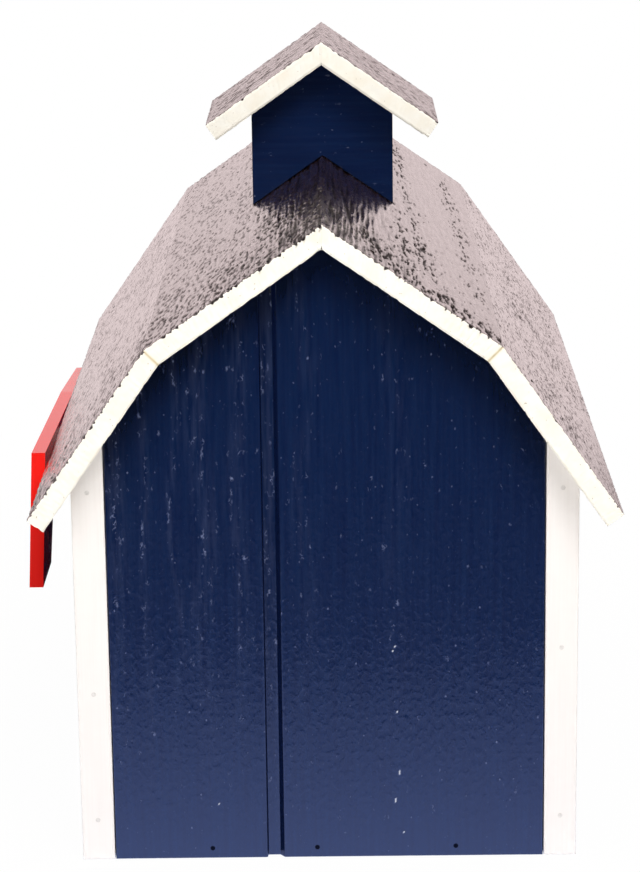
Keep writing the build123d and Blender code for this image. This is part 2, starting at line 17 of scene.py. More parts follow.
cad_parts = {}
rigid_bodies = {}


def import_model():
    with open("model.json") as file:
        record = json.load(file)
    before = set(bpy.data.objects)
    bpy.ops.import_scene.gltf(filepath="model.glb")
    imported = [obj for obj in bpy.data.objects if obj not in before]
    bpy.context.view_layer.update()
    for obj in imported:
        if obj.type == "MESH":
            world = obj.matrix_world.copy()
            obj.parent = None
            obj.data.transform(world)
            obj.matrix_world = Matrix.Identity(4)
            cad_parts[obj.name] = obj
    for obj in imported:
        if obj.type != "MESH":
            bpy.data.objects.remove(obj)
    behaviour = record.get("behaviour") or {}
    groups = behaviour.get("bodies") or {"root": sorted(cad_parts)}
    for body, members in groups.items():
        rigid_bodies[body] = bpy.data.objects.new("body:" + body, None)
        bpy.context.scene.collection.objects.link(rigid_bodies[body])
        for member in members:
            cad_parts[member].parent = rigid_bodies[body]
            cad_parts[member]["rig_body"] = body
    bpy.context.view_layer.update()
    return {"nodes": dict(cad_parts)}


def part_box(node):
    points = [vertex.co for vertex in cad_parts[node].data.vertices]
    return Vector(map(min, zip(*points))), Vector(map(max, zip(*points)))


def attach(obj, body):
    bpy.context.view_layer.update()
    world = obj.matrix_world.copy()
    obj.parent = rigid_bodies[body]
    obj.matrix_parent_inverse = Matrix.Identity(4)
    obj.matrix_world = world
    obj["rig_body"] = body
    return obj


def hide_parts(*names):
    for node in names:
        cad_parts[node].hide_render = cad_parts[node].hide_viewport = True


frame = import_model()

MM = 0.001
nodes = frame["nodes"]
scene = bpy.context.scene

# %% [markdown]
# ## Camera
# The photograph was taken from about 1.8 m behind the box with a long lens, looking down by 15 degrees.
# The place and the turn were solved from corners of the panel, the roof and the flag, so the picture's
# edges can be trusted to a pixel or two. A vertical sensor fit keeps the lens right for a tall picture.

# %% Camera
IMAGE_HEIGHT = 872
FOCAL_PIXELS = 2870.4
SENSOR = 36.0
CAMERA_PLACE = (7.84, -1830.53, 675.46)
YAW, DOWN, ROLL = 0.3701, 14.7638, -0.7302

lens = bpy.data.cameras.new("photo_camera")
lens.sensor_fit = "VERTICAL"
lens.sensor_height = SENSOR
lens.lens = FOCAL_PIXELS * SENSOR / IMAGE_HEIGHT
camera = bpy.data.objects.new("photo_camera", lens)
turn = Matrix.Rotation(radians(YAW), 4, "Z") @ Matrix.Rotation(radians(90 - DOWN), 4, "X")
turn = turn @ Matrix.Rotation(radians(ROLL), 4, "Z")
camera.matrix_world = Matrix.Translation(Vector(CAMERA_PLACE) * MM) @ turn
scene.collection.objects.link(camera)
scene.camera = camera
print("lens", round(lens.lens, 1), "mm")

# %% [markdown]
# ## Two helpers for every node tree
# A node tree is quicker to read when each node is one line: its kind, what goes into it, and its
# settings. Colours are written as the hex values a painter would pick on a screen, and one function
# turns them into the linear values that the shaders work with.

# %% Node and colour helpers
def add_node(tree, kind, inputs=None, **settings):
    """Add one node with its settings, and link or fill its inputs. A node given as an input stands for
    its first output in use."""
    node = tree.nodes.new(kind)
    for name, value in settings.items():
        setattr(node, name, value)
    for key, value in (inputs or {}).items():
        if isinstance(value, bpy.types.Node):
            value = next(socket for socket in value.outputs if socket.enabled)
        if isinstance(value, bpy.types.NodeSocket):
            tree.links.new(value, node.inputs[key])
        else:
            node.inputs[key].default_value = value
    return node


def colour(code):
    """Linear colour from an sRGB hex code."""
    parts = [int(code[start:start + 2], 16) / 255 for start in (1, 3, 5)]
    return [v / 12.92 if v <= 0.04045 else ((v + 0.055) / 1.055) ** 2.4 for v in parts] + [1.0]


print("half grey is", round(colour("#808080")[0], 3), "in linear light")

# %% [markdown]
# ## White studio
# The background is plain white paper. Camera rays see it at a strength of 1, which is white, and the
# rest of the light comes from soft panels. Glossy rays see a bright room behind the box and a dim one
# on the camera's side, as in a studio where only the backdrop is lit. That is what makes the roof shine
# while the rear panel keeps its deep blue.

# %% World
scene.view_settings.view_transform = "Standard"
AMBIENT = 0.3
WARM = "#fff1ec"
ROSY = "#ffecec"
ROOM_GLOW = (0.02, 1.0)
GLOW_TURN = (-0.1, 0.4)

world = bpy.data.worlds.new("white_studio")
world.use_nodes = True
scene.world = world
tree = world.node_tree
tree.nodes.clear()
path = add_node(tree, "ShaderNodeLightPath").outputs
facing = add_node(tree, "ShaderNodeTexCoord").outputs["Generated"]
facing = add_node(tree, "ShaderNodeSeparateXYZ", {0: facing}).outputs
glow = add_node(tree, "ShaderNodeMapRange", {
    "Value": facing["Y"], "From Min": GLOW_TURN[0], "From Max": GLOW_TURN[1],
    "To Min": ROOM_GLOW[0], "To Max": ROOM_GLOW[1],
})
room = add_node(tree, "ShaderNodeBackground", {"Color": colour(WARM), "Strength": AMBIENT})
mirrored = add_node(tree, "ShaderNodeBackground", {"Color": colour(ROSY), "Strength": glow})
paper = add_node(tree, "ShaderNodeBackground", {"Color": (1, 1, 1, 1), "Strength": 1.0})
unseen = add_node(tree, "ShaderNodeMixShader", {0: path["Is Glossy Ray"], 1: room, 2: mirrored})
seen = add_node(tree, "ShaderNodeMath", {
    0: path["Is Camera Ray"], 1: path["Is Transmission Ray"],
}, operation="MAXIMUM")
sky = add_node(tree, "ShaderNodeMixShader", {0: seen, 1: unseen, 2: paper})
add_node(tree, "ShaderNodeOutputWorld", {0: sky})
print("world", world.name)

# %% [markdown]
# The floor is the same white paper. To the camera it is mostly glow, so that it runs into the background,
# and the small diffuse share keeps the soft shadow round the foot of the box. Glossy rays see three parts
# of it: a strip before the rear panel that glows a cool blue for them only, a painted reflection that gives
# the panel its paler foot, the shade round the box, and the bright paper far behind it that the steep roof
# boards mirror. Each part is a ramp between two distances in metres.

# %% Floor
FLOOR_HALF = 20.0
FLOOR_DROP = -0.2 * MM
FLOOR_SHOW = 0.98
PAPER_WHITE = (0.9, 0.9, 0.9, 1)
STRIP_GLOW = 2.35
STRIP_EDGE_GLOW = 0.32
STRIP_BLUE = "#acbeff"
# From and to which distance each ramp runs, and its values there
RAMPS = {
    "show": (0.35, 0.8, FLOOR_SHOW, 1.0),
    "aside": (0.3, 0.6, 1.0, 0.0),
    "near": (-0.65, -0.26, 0.0, STRIP_GLOW),
    "edge": (-1.15, -0.65, 0.0, STRIP_EDGE_GLOW),
    "shade": (-0.24, -0.15, 1.0, 0.0),
    "far": (0.6, 1.2, 0.0, 1.0),
}

paper_floor = bpy.data.materials.new("white_paper_sweep")
paper_floor.use_nodes = True
tree = paper_floor.node_tree
tree.nodes.clear()
path = add_node(tree, "ShaderNodeLightPath").outputs
spot = add_node(tree, "ShaderNodeTexCoord").outputs["Object"]
parts = add_node(tree, "ShaderNodeSeparateXYZ", {0: spot}).outputs
distances = {
    "show": add_node(tree, "ShaderNodeVectorMath", {0: spot}, operation="LENGTH"),
    "aside": add_node(tree, "ShaderNodeMath", {0: parts["X"]}, operation="ABSOLUTE"),
}
ramp = {}
for title, (near, far, low, high) in RAMPS.items():
    ramp[title] = add_node(tree, "ShaderNodeMapRange", {
        "Value": distances.get(title, parts["Y"]),
        "From Min": near, "From Max": far, "To Min": low, "To Max": high,
    })
strip = add_node(tree, "ShaderNodeMath", {0: ramp["near"], 1: ramp["edge"]}, operation="ADD")
for title in ("shade", "aside"):
    strip = add_node(tree, "ShaderNodeMath", {0: strip, 1: ramp[title]}, operation="MULTIPLY")
matte = add_node(tree, "ShaderNodeBsdfDiffuse", {"Color": PAPER_WHITE})
white = add_node(tree, "ShaderNodeEmission", {"Color": (1, 1, 1, 1), "Strength": 1.0})
# A strip of the floor glows blue for glossy rays only: a painted reflection at the foot of the rear panel.
glowing_strip = add_node(tree, "ShaderNodeEmission", {"Color": colour(STRIP_BLUE), "Strength": strip})
beyond = add_node(tree, "ShaderNodeEmission", {"Color": colour(ROSY), "Strength": ramp["far"]})
sheen = add_node(tree, "ShaderNodeAddShader", {0: glowing_strip, 1: beyond})
share = add_node(tree, "ShaderNodeMath", {
    0: path["Is Camera Ray"], 1: ramp["show"],
}, operation="MULTIPLY")
mixed = add_node(tree, "ShaderNodeMixShader", {0: path["Is Glossy Ray"], 1: matte, 2: sheen})
mixed = add_node(tree, "ShaderNodeMixShader", {0: share, 1: mixed, 2: white})
add_node(tree, "ShaderNodeOutputMaterial", {0: mixed})

sheet = bpy.data.meshes.new("studio_floor")
corners = [(-1, -1), (1, -1), (1, 1), (-1, 1)]
places = [(x * FLOOR_HALF, y * FLOOR_HALF, FLOOR_DROP) for x, y in corners]
sheet.from_pydata(places, [], [(0, 1, 2, 3)])
sheet.materials.append(paper_floor)
floor = bpy.data.objects.new("studio_floor", sheet)
scene.collection.objects.link(floor)
print("floor", 2 * FLOOR_HALF, "m across")

# %% [markdown]
# Three soft panels light the box. The key stands behind the camera, high and to the right, so the eaves
# throw a soft shade and the right walls of the grooves stay dark. A weaker panel fills from the left. The
# wide panel beyond the box lights its front. It is hidden from glossy rays, because the roof's glare
# already comes from the bright room behind the box.

# %% Soft panels
LAMP_TARGET = (0, 0, 0.2)


def soft_panel(name, place, size, power):
    """Rectangular lamp aimed at the box, unseen by the camera."""
    lamp = bpy.data.lights.new(name, "AREA")
    lamp.shape = "RECTANGLE"
    lamp.size, lamp.size_y = size
    lamp.energy = power
    panel = bpy.data.objects.new(name, lamp)
    aim = (Vector(LAMP_TARGET) - Vector(place)).to_track_quat("-Z", "Y")
    panel.matrix_world = Matrix.Translation(place) @ aim.to_matrix().to_4x4()
    panel.visible_camera = False
    scene.collection.objects.link(panel)
    return panel


key = soft_panel("key_panel", place=(0.8, -2.3, 2.9), size=(2.0, 1.4), power=86)
fill = soft_panel("fill_panel", place=(-1.9, -2.4, 1.8), size=(1.6, 1.6), power=30)
backdrop = soft_panel("backdrop_panel", place=(0, 2.4, 1.2), size=(3.0, 1.6), power=40)
backdrop.visible_glossy = False
for panel in (key, fill, backdrop):
    print(panel.name, panel.data.energy, "W")

# %% [markdown]
# ## Planks
# Nearly all of the box is sawn board, so one helper makes every board: a fine grid on the face and the
# back, joined by rings of vertices round the edge. It could be a cube with a subdivision modifier, but a
# grid that knows its own directions can carry useful values on its vertices: how far along and across
# the grain a point is, which way is out, and how freely the surface may be embossed there. Mitres, roof
# lines and grooves are only a matter of where each row of the grid ends.

# %% Grid lines
KEPT_CLEAR = 0.4


def grid_lines(low, high, step, ease, kept=()):
    """Places from low to high about a step apart, with one close to each end and the kept ones exact."""
    count = max(2, round((high - low - 2 * ease) / step) + 1)
    lines = np.linspace(low + ease, high - ease, count)
    clear = KEPT_CLEAR * step
    for group in kept:
        lines = lines[(lines < min(group) - clear) | (lines > max(group) + clear)]
    return np.unique(np.concatenate([[low, high], lines, *kept]))


def inset(lines, amount):
    """Grid lines with their ends drawn in, which rounds a board's arris."""
    drawn = lines.copy()
    drawn[0] += amount
    drawn[-1] -= amount
    return drawn


print("lines on 10 mm:", grid_lines(0.0, 10.0, 2.5, 0.7).round(2))

# %% [markdown]
# A siding groove is a flat-bottomed channel. One wall is upright and the other leans, as the mould gave it.
# Four grid lines at each wall are enough for a crisp edge that still has a small radius, as paint gives it.

# %% Siding groove
GROOVE_DEPTH = 4.0
GROOVE_STEPS = np.array([-4.6, -4.1, -3.8, -3.3, 3.2, 3.6, 5.7, 6.2])
GROOVE_FALL = np.array([0.0, 0.12, 0.9, 1.0, 1.0, 0.9, 0.12, 0.0]) * GROOVE_DEPTH


def groove_fall(across, centres):
    """Depth of the grooves below the face."""
    depth = np.zeros_like(across)
    for centre in centres:
        depth = np.maximum(depth, np.interp(across - centre, GROOVE_STEPS, GROOVE_FALL))
    return depth


def groove_lines(centres):
    """Grid lines that follow the groove walls."""
    return [centre + GROOVE_STEPS for centre in centres]


print("groove", round(GROOVE_STEPS[-1] - GROOVE_STEPS[0], 1), "mm wide and", GROOVE_DEPTH, "mm deep")

# %% [markdown]
# A board's face is a grid of points. Its edge grows from the grid's rim in bands, so a walk round the rim
# is needed as well as the faces between the points. The vertices of the face come first, then those of
# the back if it shows, and then ring by ring those of the edge.

# %% Faces of a board
def grid_walk(tall, wide):
    """Rows and columns of the grid points that are met on a walk round its rim."""
    up, over = np.arange(tall - 1), np.arange(wide - 1)
    rows = np.concatenate([0 * over, up, 0 * over + tall - 1, tall - 1 - up])
    columns = np.concatenate([over, 0 * up + wide - 1, wide - 1 - over, 0 * up])
    return rows, columns


def grid_quads(number):
    """Four-cornered faces between neighbouring points of a numbered grid."""
    corners = number[:-1, :-1], number[:-1, 1:], number[1:, 1:], number[1:, :-1]
    return np.stack(corners, -1).reshape(-1, 4)


def board_faces(tall, wide, rings, both):
    """Faces of the front, of the bands round the edge and of the back, by the numbers of their vertices."""
    number = np.arange(tall * wide).reshape(tall, wide)
    rim = number[grid_walk(tall, wide)]
    first = number.size * (2 if both else 1)
    walks = [rim] + [first + ring * len(rim) + np.arange(len(rim)) for ring in range(rings)]
    front = grid_quads(number)
    back = [walks[-1][::-1]]
    if both:
        walks.append(rim + number.size)
        back = front[:, ::-1] + number.size
    bands = [np.stack([np.roll(p, -1), p, q, np.roll(q, -1)], -1) for p, q in zip(walks, walks[1:])]
    return front, bands, back


print(len(grid_walk(3, 4)[0]), "points round a grid of 3 by 4")

# %% [markdown]
# A mesh can carry extra values on its vertices or its faces. They are called attributes, and shaders and
# Geometry Nodes can read them by name. One function makes a board's object and fills its attributes in.

# %% Board with values
FACE, EDGE, BACK = range(3)


def valued_board(name, points, faces, values, sides):
    """Object from points in millimetres, with values on its vertices and, on its faces, the side of the
    board that each belongs to."""
    mesh = bpy.data.meshes.new(name)
    mesh.from_pydata((points * MM).tolist(), [], faces)
    mesh.shade_smooth()
    for title, data in values.items():
        kind, part = ("FLOAT_VECTOR", "vector") if data.ndim == 2 else ("FLOAT", "value")
        attribute = mesh.attributes.new(title, kind, "POINT")
        attribute.data.foreach_set(part, data.ravel().astype(np.float32))
    attribute = mesh.attributes.new("side", "INT", "FACE")
    attribute.data.foreach_set("value", sides.astype(np.int32))
    board = bpy.data.objects.new(name, mesh)
    scene.collection.objects.link(board)
    return board


print("sides of a board: face", FACE, "edge", EDGE, "back", BACK)

# %% [markdown]
# A place on a board is given by how far across it is, by its share of the way along, and by its share of
# the thickness. The back may be wider or longer than the face, which makes mitres and bevels.

# %% Places on a board
def board_places(origin, axes, face, back, thickness, grooves, cross_grain):
    """Rule for points in millimetres and their grain values. face and back are limits across and a rule
    along."""
    right, ahead, out = axes
    across, along = face
    back_across, back_along = back

    def spots(a, t, deep):
        """Points and grain values for places across, shares of the way along and one of the depth."""
        far = np.interp(a, across, back_across)
        near_low, near_high = along(a)
        far_low, far_high = back_along(far)
        b = near_low + (near_high - near_low) * t
        b = b + (far_low + (far_high - far_low) * t - b) * deep
        here = a + (far - a) * deep
        depth = groove_fall(a, grooves) * (1 - deep) + thickness * deep
        points = np.array(origin, float) + here[..., None] * right
        points = points + b[..., None] * ahead - depth[..., None] * out
        return points, np.stack((here, b, depth) if cross_grain else (b, here, depth), axis=-1)
    return spots


def level_ends(low, high):
    """Rule for a board with square ends."""
    return lambda across: (np.full_like(across, low), np.full_like(across, high))


square = (0.0, 8.0), level_ends(0.0, 30.0)
sample = board_places((0, 0, 0), np.eye(3), square, square, 5.0, grooves=(), cross_grain=False)
print("far corner of a small board:", *sample(np.array([8.0]), 1.0, 1.0)[0][0], "mm")

# %% [markdown]
# Every vertex of the edge looks out to its own side, and the last ring looks out of the back where that is
# plain. A mitred edge stays where it is, so that two boards still meet. A chewed board gets a value that
# is high near its sawn rims, where the saw tore out chips.

# %% Values of the edge
CHEW_REACH = 2.2


def edge_values(axes, runs, closed, rings, holds, plain_back, chewed):
    """Outward directions, holds and rim values of the rings round a board."""
    right, ahead, out = axes
    free = np.repeat(np.where(closed, 0.0, 1.0), runs)
    outs = [np.repeat([-ahead, right, ahead, -right], runs, axis=0)] * rings
    edge_holds = [free * holds[1]] * rings
    rims = [free * 0.0] * rings
    if plain_back:
        outs[-1] = np.tile(-out, (len(free), 1))
        edge_holds[-1] = free * holds[2]
        rims[-1] = free * float(chewed)
    return outs, edge_holds, rims


def sawn_rim(a, t, across, length, mitres):
    """Value on the face that is 1 at its sawn rims and fades inwards."""
    away = np.minimum(t, 1 - t) * length
    away = np.minimum(away, np.inf if mitres[0] else a - across[0])
    away = np.minimum(away, np.inf if mitres[1] else across[1] - a)
    return np.exp(-away / CHEW_REACH).ravel()


print("chips fade to a third in", CHEW_REACH, "mm")

# %% [markdown]
# The maker itself lays out the face, the rings round the edge and the back. The back is one flat face,
# unless both sides show. The face is drawn in a little at its rim, which rounds the arris. A mitred edge
# is painted like the face.

# %% Plank maker
ROUNDED = 0.29
LAYER_STEP = 2.0
CHEW_HEIGHT = 1.9
USUAL_MARKS = {"glints_and_marks": 0.1, "painted_eave_shade": 0.0, "rough": 1.0, "ribbed": 1.0}


def plank(name, origin, axes, across, along, thickness, back_across=None, back_along=None, grooves=(),
          kinks=(), step=(1.2, 1.6), ease=0.7, holds=(1.0, 0.25, 0.0), both=False, cross_grain=False,
          mitres=(False, False), chewed=False, marks=None):
    """Board as a fine closed grid. axes are its across, along and outward directions, across its limits,
    and along a rule for the low and high end of each row. holds tell how much of the relief the face, the
    edge and the back rim take, and marks are rules for values that change over the board."""
    axes = [np.array(axis, float) for axis in axes]
    right, ahead, out = axes
    far_side = back_across or across, back_along or along
    spots = board_places(origin, axes, (across, along), far_side, thickness, grooves, cross_grain)
    kept = groove_lines(grooves) + [np.array([kink]) for kink in kinks]
    columns = grid_lines(*across, step[0], ease, kept)
    ends = along(columns)
    length = np.max(ends[1] - ends[0])
    rows = grid_lines(0.0, length, step[1], ease) / length
    layers = grid_lines(0.0, thickness, LAYER_STEP, CHEW_HEIGHT if chewed else ease)[1:] / thickness

    pull = ROUNDED * ease
    drawn = np.meshgrid(inset(columns, pull), inset(rows, pull / length))
    tall, wide = drawn[0].shape
    rim = grid_walk(tall, wide)
    sheets = [spots(*drawn, 0.0)]
    sheets[0][0][rim] -= pull * out
    if both:
        sheets.append(spots(*drawn, 1.0))
        sheets[1][0][rim] += pull * out
        layers = layers[:-1]
    rings = [spots(columns[rim[1]], rows[rim[0]], deep) for deep in layers]

    front, bands, back = board_faces(tall, wide, len(rings), both)
    faces = [list(corners) for group in (front, *bands, back) for corners in group]
    if np.dot(np.cross(right, ahead), out) < 0:
        faces = [corners[::-1] for corners in faces]

    runs = [wide - 1, tall - 1, wide - 1, tall - 1]
    closed = np.array([False, mitres[1], False, mitres[0]])
    ring_outs, ring_holds, ring_rims = edge_values(axes, runs, closed, len(rings), holds, not both, chewed)
    face_rim = float(chewed) * sawn_rim(*drawn, across, length, mitres)
    sheet_outs = [np.tile(way, (tall * wide, 1)) for way in (out, -out)[:len(sheets)]]
    points = np.concatenate([part[0].reshape(-1, 3) for part in sheets + rings])
    values = {
        "grain": np.concatenate([part[1].reshape(-1, 3) for part in sheets + rings]),
        "out": np.concatenate(sheet_outs + ring_outs),
        "hold": np.concatenate([np.full(tall * wide * len(sheets), holds[0]), *ring_holds]),
        "rim": np.concatenate([face_rim] * len(sheets) + ring_rims),
    }
    for title, usual in USUAL_MARKS.items():
        rule = (marks or {}).get(title)
        values[title] = rule(points) if rule else np.full(len(points), usual)
    band_sides = [np.repeat(np.where(closed, FACE, EDGE), runs)] * len(bands)
    sides = np.concatenate([np.full(len(front), FACE), *band_sides, np.full(len(back), BACK)])
    board = valued_board(name, points, faces, values, sides)
    if not both:
        board.data.polygons[len(faces) - 1].use_smooth = False
    return board


print("marks on every plank:", *USUAL_MARKS)

# %% [markdown]
# ## Noise along the grain
# Nearly every pattern on wood is drawn out along the grain. A node group holds that idea once: it divides
# the grain values, in millimetres, by a length and a width and looks up a noise there. Shaders and
# Geometry Nodes need a group each, but both are made by the same lines.

# %% Node groups for noise along the grain
DEPTH_SIZE = 3.0
GRAIN_NOISE = {}
for kind in ("ShaderNodeTree", "GeometryNodeTree"):
    group = bpy.data.node_groups.new("noise_along_grain", kind)
    group.interface.new_socket("Noise", in_out="OUTPUT", socket_type="NodeSocketFloat")
    group.interface.new_socket("Grain", in_out="INPUT", socket_type="NodeSocketVector")
    for title, value in {"Length": 20.0, "Width": 2.0, "Shift": 0.0, "Detail": 2.0}.items():
        socket = group.interface.new_socket(title, in_out="INPUT", socket_type="NodeSocketFloat")
        socket.default_value = value
    given = add_node(group, "NodeGroupInput").outputs
    size = add_node(group, "ShaderNodeCombineXYZ", {
        0: given["Length"], 1: given["Width"], 2: DEPTH_SIZE,
    })
    place = add_node(group, "ShaderNodeVectorMath", {0: given["Grain"], 1: size}, operation="DIVIDE")
    place = add_node(group, "ShaderNodeVectorMath", {0: place, 1: given["Shift"]}, operation="ADD")
    noise = add_node(group, "ShaderNodeTexNoise", {
        "Vector": place, "Scale": 1.0, "Detail": given["Detail"],
    })
    add_node(group, "NodeGroupOutput", {0: noise})
    GRAIN_NOISE[kind] = group
print(len(GRAIN_NOISE), "groups")

# %% [markdown]
# ## Embossed surface
# The siding and the roof are rough-sawn or embossed boards under thick paint. The relief follows a rule:
# ribs along the grain, a pebbled skin, short pores, and chips along sawn rims. Sculpting or a displacement
# image could do it too. A Geometry Nodes tree keeps the sizes in view and makes real geometry, so the
# roof's edge is ragged from every side. The relief only goes inwards, so that the nail heads of the packed
# model stay on top.

# %% Inputs of the emboss tree
SIZES = {
    "Rib spacing": 1.6, "Rib length": 22.0, "Rib depth": 0.05,
    "Pore width": 1.5, "Pore length": 8.0, "Pore depth": 0.0, "Pore share": 0.4,
    "Pebble size": 2.6, "Pebble depth": 0.03,
    "Arris depth": 0.0,
    "Seed": 0.0,
}
FINISHES = ("Face finish", "Edge finish", "Back finish")
FIELDS = {
    "grain": "FLOAT_VECTOR", "out": "FLOAT_VECTOR", "hold": "FLOAT", "rim": "FLOAT", "rough": "FLOAT",
    "ribbed": "FLOAT", "side": "INT",
}

emboss = bpy.data.node_groups.new("embossed_board", "GeometryNodeTree")
sockets = emboss.interface
sockets.new_socket("Board", in_out="OUTPUT", socket_type="NodeSocketGeometry")
sockets.new_socket("Board", in_out="INPUT", socket_type="NodeSocketGeometry")
INPUT_KEYS = {}
for title, value in SIZES.items():
    socket = sockets.new_socket(title, in_out="INPUT", socket_type="NodeSocketFloat")
    socket.default_value = value
    INPUT_KEYS[title] = socket.identifier
for title in FINISHES:
    socket = sockets.new_socket(title, in_out="INPUT", socket_type="NodeSocketMaterial")
    INPUT_KEYS[title] = socket.identifier
start = add_node(emboss, "NodeGroupInput").outputs
field = {}
for title, kind in FIELDS.items():
    field[title] = add_node(emboss, "GeometryNodeInputNamedAttribute", {"Name": title}, data_type=kind)
print(len(INPUT_KEYS), "inputs and", len(field), "fields")

# %% [markdown]
# Ribs, pebbles, chips and pores are noises of different shapes. A table gives their lengths and widths in
# millimetres and a shift, so that no two of them follow each other. The first three are spread to run from
# 0 to 1. The seed moves the grain values before the noise is looked up, so that no two boards are alike.

# %% Ribs, pebbles and chips
relief_noise = {
    "ribs": {"Length": start["Rib length"], "Width": start["Rib spacing"]},
    "pebbles": {
        "Length": start["Pebble size"], "Width": start["Pebble size"], "Shift": 11.0, "Detail": 1.0,
    },
    "chips": {"Length": 2.6, "Width": 3.2, "Shift": 77.0},
    "patch": {"Length": 60.0, "Width": 20.0, "Shift": 67.0},
    "pores": {
        "Length": start["Pore length"], "Width": start["Pore width"], "Shift": 23.0, "Detail": 1.0,
    },
}
SPREAD = {"ribs": (0.35, 0.7), "pebbles": (0.4, 0.75), "chips": (0.45, 0.75)}

grain_noise = GRAIN_NOISE["GeometryNodeTree"]
grain = add_node(emboss, "ShaderNodeVectorMath", {0: field["grain"], 1: start["Seed"]}, operation="ADD")
noise = {}
for title, sizes in relief_noise.items():
    noise[title] = add_node(emboss, "GeometryNodeGroup", {"Grain": grain, **sizes}, node_tree=grain_noise)
relief = {}
for title, (low, high) in SPREAD.items():
    relief[title] = add_node(emboss, "ShaderNodeMapRange", {
        "Value": noise[title], "From Min": low, "From Max": high,
    })
print(*relief, "from", len(noise), "noises")

# %% [markdown]
# Pores are the peaks of a short noise. A wide noise and the roughness of the board lift it before it is
# clipped, so pores come in loose groups and crowd where the grain is open.

# %% Pores
# Most values of a noise lie in this range.
MOST_NOISE = {"From Min": 0.3, "From Max": 0.7}
PATCH_LIFT = 0.06
ROUGH_LIFT = 0.12
PORE_CLIP = (1.1, 1.16)

patch = add_node(emboss, "ShaderNodeMapRange", {
    "Value": noise["patch"], **MOST_NOISE, "To Min": -PATCH_LIFT, "To Max": PATCH_LIFT,
})
pores = add_node(emboss, "ShaderNodeMath", {0: noise["pores"], 1: patch}, operation="ADD")
pores = add_node(emboss, "ShaderNodeMath", {
    0: field["rough"], 1: ROUGH_LIFT, 2: pores,
}, operation="MULTIPLY_ADD")
pores = add_node(emboss, "ShaderNodeMath", {0: pores, 1: start["Pore share"]}, operation="ADD")
relief["pores"] = add_node(emboss, "ShaderNodeMapRange", {
    "Value": pores, "From Min": PORE_CLIP[0], "From Max": PORE_CLIP[1],
})
print("relief from", *relief)

# %% [markdown]
# The depths are added up and taken off along each point's outward direction. The total is also stored as
# an attribute, so that a paint can tell a pore from a rib. Face, edge and back then get their finishes.

# %% Displace and finish
LEAST_DEPTH = 0.05
DEPTHS = {
    "ribs": ("ribbed", "Rib depth"), "pebbles": ("rough", "Pebble depth"),
    "pores": ("rough", "Pore depth"), "chips": ("rim", "Arris depth"),
}
total = LEAST_DEPTH
for title, (share, depth) in DEPTHS.items():
    amount = add_node(emboss, "ShaderNodeMath", {0: relief[title], 1: field[share]}, operation="MULTIPLY")
    total = add_node(emboss, "ShaderNodeMath", {
        0: amount, 1: start[depth], 2: total,
    }, operation="MULTIPLY_ADD")
total = add_node(emboss, "ShaderNodeMath", {0: total, 1: field["hold"]}, operation="MULTIPLY")
metres = add_node(emboss, "ShaderNodeMath", {0: total, 1: -MM}, operation="MULTIPLY")
shift = add_node(emboss, "ShaderNodeVectorMath", {0: field["out"], "Scale": metres}, operation="SCALE")
dressed = add_node(emboss, "GeometryNodeStoreNamedAttribute", {
    "Geometry": start["Board"], "Name": "relief", "Value": total,
}, data_type="FLOAT", domain="POINT")
dressed = add_node(emboss, "GeometryNodeSetPosition", {"Geometry": dressed, "Offset": shift})
dressed = add_node(emboss, "GeometryNodeRealizeInstances", {0: dressed})
# Inputs 2 and 3 of Compare are the ones for whole numbers.
for side, title in zip((FACE, EDGE, BACK), FINISHES):
    chosen = add_node(emboss, "FunctionNodeCompare", {
        2: field["side"], 3: side,
    }, data_type="INT", operation="EQUAL")
    dressed = add_node(emboss, "GeometryNodeSetMaterial", {
        "Geometry": dressed, "Selection": chosen, "Material": start[title],
    })
add_node(emboss, "NodeGroupOutput", {0: dressed})
print(len(emboss.nodes), "nodes in", emboss.name)

# %% [markdown]
# A small function runs the tree on a board, keeps the result as a plain mesh and lets it stand for its
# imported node. The inputs are set by their identifiers before the tree is evaluated for the first time.

# %% Run the tree on a board
def embossed(board, node, slot, finishes, **sizes):
    """Emboss a board, keep the result as a plain mesh and let it stand for its CAD node."""
    modifier = board.modifiers.new("emboss", "NODES")
    modifier.node_group = emboss
    for title, value in sizes.items():
        modifier[INPUT_KEYS[title.replace("_", " ").capitalize()]] = float(value)
    for title, finish in zip(FINISHES, finishes):
        modifier[INPUT_KEYS[title]] = finish
    graph = bpy.context.evaluated_depsgraph_get()
    result = bpy.data.meshes.new_from_object(
        board.evaluated_get(graph), preserve_all_data_layers=True, depsgraph=graph)
    board.modifiers.clear()
    board.data = result
    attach(board, nodes[node]["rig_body"])
    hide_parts(node)
    print(board.name, len(result.polygons), "faces")


# %% [markdown]
# ## Paints
# Nearly all of the wood is brush-painted. Each finish is one Principled shader, and its patterns read the
# grain values of the board, in millimetres, so that they run the way the wood does.

# %% Start of a material
def new_finish(name):
    """Empty material and its node tree."""
    finish = bpy.data.materials.new(name)
    finish.use_nodes = True
    finish.node_tree.nodes.clear()
    return finish, finish.node_tree


grain_noise = GRAIN_NOISE["ShaderNodeTree"]
print("paints read", grain_noise.name)
